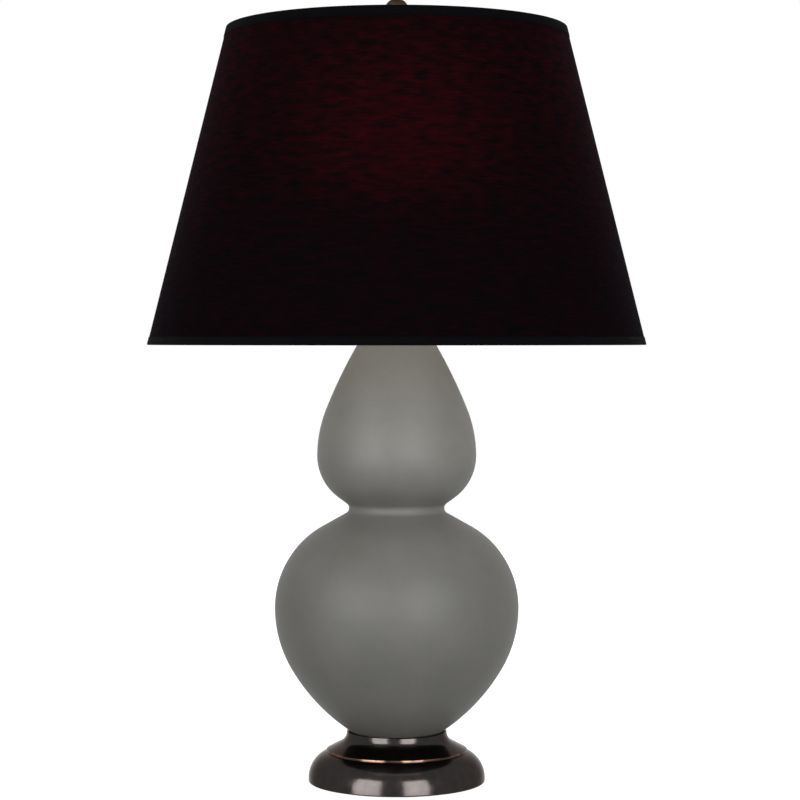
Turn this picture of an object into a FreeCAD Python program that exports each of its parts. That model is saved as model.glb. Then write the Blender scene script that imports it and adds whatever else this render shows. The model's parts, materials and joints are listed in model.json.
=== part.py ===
"""Double gourd table lamp: a parametric model, in millimetres.

A glazed ceramic double gourd stands on a stepped metal foot. A threaded rod runs up through
everything and clamps the stack, and carries the harp saddle and the lamp socket. A harp holds the
fabric shade by its spider, under a screwed finial.

+Z is up, the origin is the centre of the foot's felt on the table, and -Y is the front.
The harp stands in the XZ plane, and the switch knob points to the front.
"""

import FreeCAD, Part  # FreeCAD has to come first
import math
import os
import re
import Sketcher
from FreeCAD import Placement, Rotation, Vector

doc = FreeCAD.newDocument("DoubleGourdLamp")

# --------------------------------------------------------------------------------------
# Driving dimensions. Every one is a cell of the sheet, and every piece is bound to these cells.
# --------------------------------------------------------------------------------------
SIZES = {
    # Felt and foot
    "felt_radius": 82.0,
    "felt_thickness": 2.0,
    "foot_clearance": 0.8,            # the foot's edge stays this far above the table
    "foot_lip": 1.2,                  # rounding of the foot's lower edge
    "foot_wall": 1.6,
    "bell_centre_radius": 58.8,       # circle on which the quarter round of the bell is centred
    "bell_centre_height": 4.5,
    "bell_curve": 27.1,               # radius of that quarter round
    "cord_height": 9.0,               # axis of the cord bushing above the table
    # Weight
    "weight_radius": 78.5,
    "weight_height": 15.0,
    "weight_boss_radius": 14.0,
    "weight_recess_radius": 16.0,
    "weight_recess_depth": 9.0,
    # Collar under the gourd
    "collar_radius": 68.3,
    "collar_rim_height": 2.0,
    "collar_rim_width": 1.6,
    "collar_wall": 1.5,
    "collar_neck_radius": 48.6,
    "collar_top_height": 50.0,
    "collar_cove_height": 49.0,       # where the neck is vertical and the cove starts
    "collar_cove": 11.3,
    "collar_cove_angle": 64.0,        # degrees, the slope's normal where the cove ends
    "collar_lip": 0.8,
    "collar_seat_radius": 38.0,       # bore of the collar's top
    "seat_ring_radius": 45.0,
    "seat_ring_thickness": 0.8,
    # Cord bushing
    "bushing_bore": 3.2,
    "bushing_barrel": 4.4,
    "bushing_flange": 6.0,
    "bushing_stand_off": 1.8,         # how far the flange stands out from the foot
    "bushing_length": 10.0,
    # Rod and its fasteners
    "rod_radius": 5.1,
    "rod_bore": 3.2,
    "rod_bottom": 3.6,
    "rod_into_socket": 6.0,           # how far the rod reaches into the socket cap
    "rod_clearance": 0.3,             # radial clearance of a hole round the rod
    "nut_flats": 17.0,
    "nut_thickness": 5.0,
    "washer_radius": 13.0,
    "washer_thickness": 1.5,
    "thread_clearance": 0.05,
    # Gourd
    "gourd_wall": 6.0,
    "gourd_floor": 8.0,
    "gourd_floor_hole": 11.0,
    "lower_belly_radius": 118.5,
    "lower_belly_height": 170.4,      # all heights of the gourd are above the table
    "lower_straight": 26.66,          # straight stretch from the lower belly to the waist
    "lower_belly_under": 117.5,       # radius of the curve below it
    "lower_turn_angle": 30.3,         # degrees, where that curve gives way to the flank
    "lower_flank": 186.8,
    "waist_radius": 46.4,
    "waist_height": 266.9,
    "waist_curve": 5.7,
    "upper_belly_radius": 77.3,
    "upper_belly_height": 318.0,
    "upper_straight": 10.26,          # straight stretch from the waist to the upper belly
    "upper_belly_over": 121.0,
    "upper_turn_angle": 21.6,
    "upper_flank": 474.3,
    "upper_flank_angle": 29.8,        # degrees, the slope's normal where the flank ends
    "neck_radius": 21.5,
    "neck_curve": 18.0,
    "neck_length": 6.0,               # straight part of the neck at the top
    # Vase cap, spacer and lock nut
    "cap_gasket_thickness": 0.8,
    "cap_skirt_clearance": 0.7,
    "cap_wall": 1.2,
    "cap_skirt": 6.5,
    "cap_edge": 2.4,
    "cap_rise": 4.0,
    "cap_dish": 8.0,                  # radius of the hollow sweep up to the cap's hub
    "cap_hub_radius": 9.4,
    "spacer_foot_radius": 9.0,
    "spacer_waist_radius": 7.0,
    "spacer_head_radius": 8.4,
    "spacer_height": 15.0,
    "spacer_foot_height": 2.1,
    "spacer_waist_height": 4.8,
    "spacer_head_height": 3.0,
    "spacer_sweep": 18.0,             # radius of the curve from waist to head
    "lock_nut_flats": 14.5,
    "lock_nut_thickness": 3.0,
    # Harp saddle
    "saddle_strip": 1.6,
    "saddle_width": 14.0,
    "saddle_bend": 6.0,
    "saddle_shoulder": 8.0,           # the arm's shoulder above the saddle's underside
    "saddle_tongue": 15.0,            # length of the narrow tongue above the shoulder
    "saddle_tongue_width": 5.0,
    # Harp
    "harp_wire": 1.8,                 # radius of the wire
    "harp_leg_spread": 27.0,          # distance of each leg from the middle
    "harp_leg_gap": 0.1,              # between a leg and the saddle's tongue
    "harp_leg_rise": 1.5,             # the leg's end above the saddle's shoulder
    "harp_leg_length": 42.0,          # straight part of a leg
    "harp_half_width": 55.0,
    "harp_widest": 138.0,             # above the saddle's underside
    "harp_height": 223.3,             # from the saddle's underside to the wire at the top
    "harp_shoulder_angle": 40.0,      # degrees, where the upper bow tightens
    "harp_top_flat": 10.0,            # half the straight stretch at the top
    "harp_eye_radius": 6.6,
    "harp_eye_thickness": 4.0,
    "sleeve_bore": 4.0,
    "sleeve_wall": 0.8,
    "sleeve_length": 20.0,
    # Harp stud
    "shank_radius": 2.1,
    "running_clearance": 0.1,
    "stud_radius": 3.1,
    "stud_length": 9.0,               # above the spider's hub
    "stud_tip": 0.9,                  # chamfer at the stud's end
    "stud_plate_radius": 8.0,
    "stud_plate_thickness": 2.0,
    "stud_head_radius": 3.8,
    "stud_head_thickness": 2.0,
    "part_clearance": 0.3,            # between faces of pieces that move apart
    # Socket
    "socket_cap_radius": 17.4,
    "socket_cap_height": 15.0,
    "socket_cap_hub": 9.0,
    "socket_cap_shoulder": 8.0,
    "socket_cap_curve": 8.65,         # radius of the cap's dome
    "socket_metal": 0.8,
    "socket_fit": 0.15,               # radial clearance between shell, sleeve and core
    "socket_shell_lap": 5.0,          # how far the shell goes down into the cap
    "socket_shell_height": 50.0,
    "socket_bead": 2.0,               # height of the rolled bead round the shell's mouth
    "socket_bead_curve": 1.3,
    "insulator_wall": 0.8,
    "insulator_height": 45.0,
    "core_height": 19.0,
    "terminal_screw_radius": 2.6,
    "terminal_screw_head": 1.6,
    "terminal_rise": 9.5,             # the terminal screws above the core's underside
    "terminal_flat": 11.5,            # distance of the core's two flats from the middle
    "terminal_flat_height": 10.0,
    "screw_shell_bore": 13.35,
    "screw_shell_wall": 0.5,
    "screw_shell_height": 24.0,
    "contact_radius": 4.0,
    "contact_height": 2.6,
    # Switch
    "switch_rise": 9.5,               # shaft axis above the core's underside
    "switch_shaft_radius": 2.4,
    "switch_stand_off": 1.6,          # between the socket shell and the knob
    "knob_radius": 5.2,
    "knob_length": 14.0,
    "knob_bore_depth": 9.0,
    "knob_groove": 0.7,
    "knob_grooves": 12,
    "knob_edge": 0.8,
    # Bulb
    "bulb_base_radius": 13.0,
    "bulb_base_height": 25.0,
    "bulb_base_cone": 5.0,
    "bulb_base_wall": 0.5,
    "bulb_contact_radius": 4.6,
    "bulb_contact_thickness": 1.2,
    "bulb_insulator_radius": 7.0,
    "bulb_neck_radius": 12.2,
    "bulb_neck_depth": 8.0,           # how far the glass goes down into the base
    "bulb_stem_radius": 3.0,
    "bulb_stem_flare": 4.0,
    "bulb_stem_drop": 12.0,           # the stem's top below the bulb's centre
    "filament_ring": 6.0,
    "filament_wire": 0.5,
    "bulb_neck_rise": 4.0,
    "bulb_radius": 30.0,
    "bulb_length": 108.0,
    "bulb_glass_wall": 0.9,
    # Shade
    "shade_top_radius": 164.4,
    "shade_bottom_radius": 240.7,
    "shade_rise": 11.3,               # the shade's top edge above the spider's hub
    "shade_height": 304.3,
    "cover_thickness": 0.6,
    "liner_thickness": 0.8,
    "layer_gap": 0.06,
    "hem_thickness": 0.5,
    "top_hem_width": 8.7,
    "bottom_hem_width": 7.0,
    "rim_wire": 1.8,                  # radius of the two rim wires
    "spider_wire": 1.5,
    "spider_arms": 3,
    "hub_radius": 16.0,
    "hub_thickness": 1.6,
    "hub_hole_clearance": 0.3,
    "arm_start": 9.3,                 # the arms begin this far from the middle
    "arm_flat": 30.0,                 # and run level to here
    "arm_bend": 40.0,
    # Finial
    "finial_height": 42.5,
    "finial_base_radius": 8.0,
    "finial_base_height": 2.0,
    "finial_stem_radius": 5.9,
    "finial_stem_height": 14.0,
    "finial_bush_wall": 1.0,
    "finial_neck_radius": 3.4,
    "finial_ball": 11.7,
    "finial_ball_rise": 29.2,         # the ball's centre above the finial's base
    "finial_tip_radius": 3.3,
    "finial_rounding": 0.8,
    "finial_bore_spare": 1.4,         # the bush is this much deeper than the stud
}

sheet = doc.addObject("Spreadsheet::Sheet", "Sizes")
for row, (alias, value) in enumerate(SIZES.items(), start=1):
    sheet.set(f"A{row}", alias.replace("_", " "))
    sheet.set(f"B{row}", str(value))
    sheet.setAlias(f"B{row}", alias)
doc.recompute()


def bound(text):
    """An expression for setExpression, from a formula that names sizes by their aliases alone."""
    return re.sub(r"\b[a-z]\w*", lambda word: ("Sizes." if word[0] in SIZES else "") + word[0], str(text))


def size(text):
    """The value in millimetres, or the plain number, of such a formula."""
    answer = sheet.evalExpression(bound(text))
    return float(getattr(answer, "Value", answer))


# --------------------------------------------------------------------------------------
# Heights and radii that several pieces share, as formulas of the sizes
# --------------------------------------------------------------------------------------
ROD_HOLE = "(rod_radius + rod_clearance)"
FOOT_RADIUS = "(bell_centre_radius + bell_curve)"
BELL_TOP = "(bell_centre_height + bell_curve)"
WEIGHT_CEILING = "(felt_thickness + weight_recess_depth)"
GOURD_FOOT = "(collar_top_height + seat_ring_thickness)"


def bell_height(radius):
    """Height of the bell's outside at a radius, as a formula."""
    return f"(bell_centre_height + sqrt(bell_curve ^ 2 - ({radius} - bell_centre_radius) ^ 2))"


def waist_side(belly):
    """Radius of the arc that runs from a belly's widest place to the straight stretch beside the
    waist, as a formula: it touches both."""
    swell = f"({belly}_belly_radius - waist_radius)"
    rise = f"({belly}_belly_height - waist_height)"
    return f"(({swell} ^ 2 + {rise} ^ 2 - {belly}_straight ^ 2) / (2 * {swell}) - waist_curve)"


LOWER_OVER = waist_side("lower")
UPPER_UNDER = waist_side("upper")
FLANK_DROP = "(upper_flank - upper_belly_over) * sin(upper_turn_angle * 1 deg)"
FLANK_INSET = "(upper_flank - upper_belly_over) * cos(upper_turn_angle * 1 deg)"
FLANK_TOP = f"(upper_belly_height - {FLANK_DROP} + upper_flank * sin(upper_flank_angle * 1 deg))"
FLANK_TOP_RADIUS = (
    "(upper_belly_radius - upper_belly_over"
    f" - {FLANK_INSET} + upper_flank * cos(upper_flank_angle * 1 deg))"
)
NECK_START = (
    f"({FLANK_TOP} + ({FLANK_TOP_RADIUS} - neck_radius) / tan(upper_flank_angle * 1 deg)"
    " + neck_curve * tan(upper_flank_angle * 0.5 deg))"
)
GOURD_TOP = f"({NECK_START} + neck_length)"
CAP_SEAT = f"({GOURD_TOP} + cap_gasket_thickness)"
CAP_TOP = f"({CAP_SEAT} + cap_wall + cap_rise)"
SPACER_TOP = f"({CAP_TOP} + spacer_height)"
SADDLE = f"({SPACER_TOP} + lock_nut_thickness)"
SOCKET = f"({SADDLE} + saddle_strip)"
SHOULDER = f"({SADDLE} + saddle_shoulder)"
LEG_END = f"({SHOULDER} + harp_leg_rise)"
HARP_TOP = f"({SADDLE} + harp_height)"
EYE_TOP = f"({HARP_TOP} + harp_eye_thickness / 2)"
PLATE_TOP = f"({EYE_TOP} + part_clearance + stud_plate_thickness)"
HUB = f"({PLATE_TOP} + part_clearance)"
HUB_TOP = f"({HUB} + hub_thickness)"
FINIAL = f"({HUB_TOP} + part_clearance)"
CORE = f"({SOCKET} + socket_metal + socket_cap_shoulder)"
SHELL_BASE = f"({SOCKET} + socket_cap_height - socket_shell_lap)"
SHELL_RADIUS = "(socket_cap_radius - socket_metal - socket_fit)"
INSULATOR_RADIUS = f"({SHELL_RADIUS} - socket_metal - socket_fit)"
CORE_RADIUS = f"({INSULATOR_RADIUS} - insulator_wall - socket_fit)"
CORE_TOP = f"({CORE} + core_height)"
SWITCH = f"({CORE} + switch_rise)"
BULB_TIP = f"({CORE_TOP} + contact_height + part_clearance)"
BULB_TOP = f"({BULB_TIP} + bulb_length)"
BULB_CENTRE = f"({BULB_TOP} - bulb_radius)"
SHADE_TOP = f"({HUB_TOP} + shade_rise)"
SHADE_BOTTOM = f"({SHADE_TOP} - shade_height)"
SHADE_SLOPE = "((shade_bottom_radius - shade_top_radius) / shade_height)"


def shade_radius(height):
    """Outer radius of the shade's cover at a height, as a formula."""
    return f"(shade_top_radius + ({SHADE_TOP} - ({height})) * {SHADE_SLOPE})"


# --------------------------------------------------------------------------------------
# Sketch and feature helpers
# --------------------------------------------------------------------------------------
START, END, CENTRE = range(1, 4)  # the points of an edge, as a sketch numbers them
H_AXIS, V_AXIS = range(-1, -3, -1)
ORIGIN = H_AXIS
UP = Vector(0, 0, 1)


def new_body(label):
    """A PartDesign body whose label names its file."""
    body = doc.addObject("PartDesign::Body", label)
    body.Label = label
    return body


def plane(body, role):
    """One of the body's own origin planes."""
    return next(f for f in body.Origin.OriginFeatures if f.Role == role)


def new_sketch(body, name, role="XZ_Plane", offset=None):
    """A sketch on an origin plane. offset is a formula along the plane's normal."""
    sketch = body.newObject("Sketcher::SketchObject", name)
    sketch.AttachmentSupport = (plane(body, role), [""])
    sketch.MapMode = "FlatFace"
    if offset is not None:
        sketch.setExpression("AttachmentOffset.Base.z", bound(offset))
    return sketch


def fix_distance(sketch, kind, geometry, point, formula):
    """Binds a point's distance from the sketch's origin along an axis to a formula."""
    value = size(formula)
    if abs(value) < 1e-9:
        axis = V_AXIS if kind == "DistanceX" else H_AXIS
        sketch.addConstraint(Sketcher.Constraint("PointOnObject", geometry, point, axis))
        return
    index = sketch.addConstraint(
        Sketcher.Constraint(kind, ORIGIN, START, geometry, point, value)
    )
    sketch.setExpression(f"Constraints[{index}]", bound(formula))


def fix_point(sketch, geometry, point, x, y):
    """Binds both coordinates of a point."""
    fix_distance(sketch, "DistanceX", geometry, point, x)
    fix_distance(sketch, "DistanceY", geometry, point, y)


def fix_radius(sketch, geometry, formula):
    """Binds the radius of a circle or an arc."""
    index = sketch.addConstraint(Sketcher.Constraint("Radius", geometry, size(formula)))
    sketch.setExpression(f"Constraints[{index}]", bound(formula))


def arc_between(start, end, radius):
    """An arc that turns left for a radius over 0 and right under it, and whether it is reversed."""
    chord = end - start
    reach = math.sqrt(max(radius * radius - chord.Length ** 2 / 4, 0.0))
    left = Vector(-chord.y, chord.x, 0).normalize()
    centre = start + chord * 0.5 + left * (reach if radius > 0 else -reach)
    first, last = (start, end) if radius > 0 else (end, start)
    angles = [math.atan2(p.y - centre.y, p.x - centre.x) for p in (first, last)]
    circle = Part.Circle(centre, UP, abs(radius))
    return Part.ArcOfCircle(circle, *angles), radius < 0


def draw(sketch, corners, closed=True):
    """Draws an outline. A corner is (x, y) or (x, y, radius) in formulas, and its radius makes the
    edge that leaves it an arc, which turns left, or right where the formula starts with a minus."""
    points = [Vector(size(c[0]), size(c[1]), 0) for c in corners]
    count = len(corners) if closed else len(corners) - 1
    ends = []
    for i in range(count):
        start, end = points[i], points[(i + 1) % len(points)]
        if len(corners[i]) == 2:
            ends.append((sketch.addGeometry(Part.LineSegment(start, end)), START, END))
            continue
        arc, reverse = arc_between(start, end, size(corners[i][2]))
        index = sketch.addGeometry(arc)
        ends.append((index, END, START) if reverse else (index, START, END))
        fix_radius(sketch, index, corners[i][2].lstrip("-"))
    for i in range(count):
        following = ends[(i + 1) % count]
        if closed or i + 1 < count:
            sketch.addConstraint(
                Sketcher.Constraint("Coincident", ends[i][0], ends[i][2], following[0], following[1])
            )
        fix_point(sketch, ends[i][0], ends[i][1], corners[i][0], corners[i][1])
    if not closed:
        fix_point(sketch, ends[-1][0], ends[-1][2], corners[-1][0], corners[-1][1])


def draw_circle(sketch, x, y, radius):
    """A circle bound to its centre and radius."""
    centre = Vector(size(x), size(y), 0)
    index = sketch.addGeometry(Part.Circle(centre, UP, size(radius)))
    fix_point(sketch, index, CENTRE, x, y)
    fix_radius(sketch, index, radius)


def turned(label, corners, body=None):
    """A piece turned about Z: its outline is given as radius and height."""
    body = body or new_body(label)
    sketch = new_sketch(body, label + "_outline")
    draw(sketch, corners)
    turn = body.newObject("PartDesign::Revolution", label + "_turn")
    turn.Profile = sketch
    turn.ReferenceAxis = (sketch, ["V_Axis"])
    turn.Angle = 360
    doc.recompute()
    return body


def padded(body, sketch, length, middle=False, reverse=False):
    """A pad of a sketch by a formula."""
    pad = body.newObject("PartDesign::Pad", sketch.Name + "_pad")
    pad.Profile = sketch
    pad.setExpression("Length", bound(length))
    pad.Midplane = middle
    pad.Reversed = reverse
    doc.recompute()
    return pad


def cut(body, sketch, length, middle=False, reverse=False):
    """A pocket of a sketch. It has to take something away."""
    before = body.Shape.Volume
    pocket = body.newObject("PartDesign::Pocket", sketch.Name + "_cut")
    pocket.Profile = sketch
    pocket.setExpression("Length", bound(length))
    pocket.Midplane = middle
    pocket.Reversed = reverse
    doc.recompute()
    if body.Shape.Volume > before - 1e-6:
        raise RuntimeError(f"{sketch.Name} cuts nothing")
    return pocket


def hexagon(body, name, flats, height):
    """A sketch of a regular hexagon at a height, flat side to the front."""
    sketch = new_sketch(body, name, "XY_Plane", height)
    draw(sketch, [
        (f"{flats} / sqrt(3) * cos({turn} deg)", f"{flats} / sqrt(3) * sin({turn} deg)")
        for turn in range(0, 360, 60)
    ])
    return sketch


def around(body, feature, count):
    """Repeats a feature in a ring about Z."""
    ring = body.newObject("PartDesign::PolarPattern", feature.Name + "_ring")
    ring.Originals = [feature]
    ring.Axis = (plane(body, "Z_Axis"), [""])
    ring.Angle = 360
    ring.setExpression("Occurrences", bound(count))
    body.Tip = ring
    doc.recompute()
    return ring


def swept(body, name, path, section):
    """A wire that follows a path."""
    wire = body.newObject("PartDesign::AdditivePipe", name)
    wire.Profile = section
    wire.Spine = path
    doc.recompute()
    return wire


def grooved(body, sketch):
    """A groove turned about Z. It has to take something away."""
    before = body.Shape.Volume
    groove = body.newObject("PartDesign::Groove", sketch.Name + "_groove")
    groove.Profile = sketch
    groove.ReferenceAxis = (sketch, ["V_Axis"])
    groove.Angle = 360
    doc.recompute()
    if body.Shape.Volume > before - 1e-6:
        raise RuntimeError(f"{sketch.Name} takes nothing away")
    return groove


# --------------------------------------------------------------------------------------
# Foot: felt, weight, bell and collar
# --------------------------------------------------------------------------------------
def make_foot():
    turned("felt_pad", [
        ("0", "0"), ("felt_radius", "0"),
        ("felt_radius", "felt_thickness"), ("0", "felt_thickness"),
    ])

    weight = turned("base_weight", [
        ("weight_recess_radius", "felt_thickness"),
        ("weight_radius", "felt_thickness"),
        ("weight_radius", "felt_thickness + weight_height"),
        ("weight_boss_radius", "felt_thickness + weight_height"),
        ("weight_boss_radius", f"{BELL_TOP} - foot_wall"),
        (ROD_HOLE, f"{BELL_TOP} - foot_wall"),
        (ROD_HOLE, WEIGHT_CEILING),
        ("weight_recess_radius", WEIGHT_CEILING),
    ])
    channel = new_sketch(weight, "cord_channel")
    half = "(bushing_barrel + part_clearance)"
    roof = f"cord_height + {half}"
    draw(channel, [("-" + half, "felt_thickness"), (half, "felt_thickness"),
                   (half, roof), ("-" + half, roof)])
    cut(weight, channel, FOOT_RADIUS)

    bell = turned("base_foot", [
        (f"{FOOT_RADIUS} - foot_wall", "foot_clearance"),
        (f"{FOOT_RADIUS} - foot_lip", "foot_clearance", "foot_lip"),
        (FOOT_RADIUS, "foot_clearance + foot_lip"),
        (FOOT_RADIUS, "bell_centre_height", "bell_curve"),
        ("bell_centre_radius", BELL_TOP),
        (ROD_HOLE, BELL_TOP),
        (ROD_HOLE, f"{BELL_TOP} - foot_wall"),
        ("bell_centre_radius", f"{BELL_TOP} - foot_wall", "-(bell_curve - foot_wall)"),
        (f"{FOOT_RADIUS} - foot_wall", "bell_centre_height"),
    ])
    hole = new_sketch(bell, "bushing_hole")
    draw_circle(hole, "0", "cord_height", "bushing_barrel + part_clearance")
    cut(bell, hole, f"{FOOT_RADIUS} + foot_wall")

    cove_x = "(collar_neck_radius + collar_cove)"
    slope_x, slope_y = "cos(collar_cove_angle * 1 deg)", "sin(collar_cove_angle * 1 deg)"
    inner_cove = "(collar_cove + collar_wall)"
    inner_rim = "(collar_radius - collar_rim_width)"
    turned("base_collar", [
        (inner_rim, f"{bell_height(inner_rim)} + layer_gap"),
        ("collar_radius", f"{bell_height('collar_radius')} + layer_gap"),
        ("collar_radius", f"{bell_height('collar_radius')} + collar_rim_height"),
        (f"{cove_x} - collar_cove * {slope_x}",
         f"collar_cove_height - collar_cove * {slope_y}", "-collar_cove"),
        ("collar_neck_radius", "collar_cove_height"),
        ("collar_neck_radius", "collar_top_height - collar_lip", "collar_lip"),
        ("collar_neck_radius - collar_lip", "collar_top_height"),
        ("collar_seat_radius", "collar_top_height"),
        ("collar_seat_radius", "collar_top_height - collar_wall"),
        ("collar_neck_radius - collar_wall", "collar_top_height - collar_wall"),
        ("collar_neck_radius - collar_wall", "collar_cove_height - collar_wall",
         f"{inner_cove}"),
        (f"{cove_x} - {inner_cove} * {slope_x}",
         f"collar_cove_height - {inner_cove} * {slope_y}"),
    ])

    turned("seat_ring", [
        ("collar_seat_radius", "collar_top_height"), ("seat_ring_radius", "collar_top_height"),
        ("seat_ring_radius", GOURD_FOOT), ("collar_seat_radius", GOURD_FOOT),
    ])

    # the bushing's flange lies against the bell's curve, and its barrel goes through the hole
    bushing = new_body("cord_bushing")
    face = f"({FOOT_RADIUS} + bushing_stand_off)"
    flange = new_sketch(bushing, "bushing_flange_ring", "XZ_Plane", f"-{face}")
    draw_circle(flange, "0", "cord_height", "bushing_flange")
    padded(bushing, flange, f"{face} - bell_centre_radius")
    behind = new_sketch(bushing, "bell_behind")
    draw(behind, [
        ("bell_centre_radius / 2", "0"),
        (f"{FOOT_RADIUS} + layer_gap", "0"),
        (f"{FOOT_RADIUS} + layer_gap", "bell_centre_height", "bell_curve + layer_gap"),
        ("bell_centre_radius", f"{BELL_TOP} + layer_gap"),
        ("bell_centre_radius / 2", f"{BELL_TOP} + layer_gap"),
    ])
    grooved(bushing, behind)
    barrel = new_sketch(bushing, "bushing_barrel_ring", "XZ_Plane", f"-{face}")
    draw_circle(barrel, "0", "cord_height", "bushing_barrel")
    padded(bushing, barrel, "bushing_length")
    bore = new_sketch(bushing, "bushing_bore_hole")
    draw_circle(bore, "0", "cord_height", "bushing_bore")
    cut(bushing, bore, f"{face} + foot_wall")


# --------------------------------------------------------------------------------------
# Rod, nut and washers
# --------------------------------------------------------------------------------------
def make_rod():
    rod_top = f"{SOCKET} + rod_into_socket"
    turned("center_rod", [
        ("rod_bore", "rod_bottom"), ("rod_radius", "rod_bottom"),
        ("rod_radius", rod_top), ("rod_bore", rod_top),
    ])
    turned("rod_washer", [
        (ROD_HOLE, f"{WEIGHT_CEILING} - washer_thickness"),
        ("washer_radius", f"{WEIGHT_CEILING} - washer_thickness"),
        ("washer_radius", WEIGHT_CEILING), (ROD_HOLE, WEIGHT_CEILING),
    ])
    for label, flats, thickness, height in (
        ("rod_nut", "nut_flats", "nut_thickness",
         f"{WEIGHT_CEILING} - washer_thickness - nut_thickness"),
        ("lock_nut", "lock_nut_flats", "lock_nut_thickness", SPACER_TOP),
    ):
        nut = new_body(label)
        padded(nut, hexagon(nut, label + "_flats", flats, height), thickness)
        bore = new_sketch(nut, label + "_bore", "XY_Plane", height)
        draw_circle(bore, "0", "0", "rod_radius + thread_clearance")
        cut(nut, bore, thickness, reverse=True)


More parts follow.
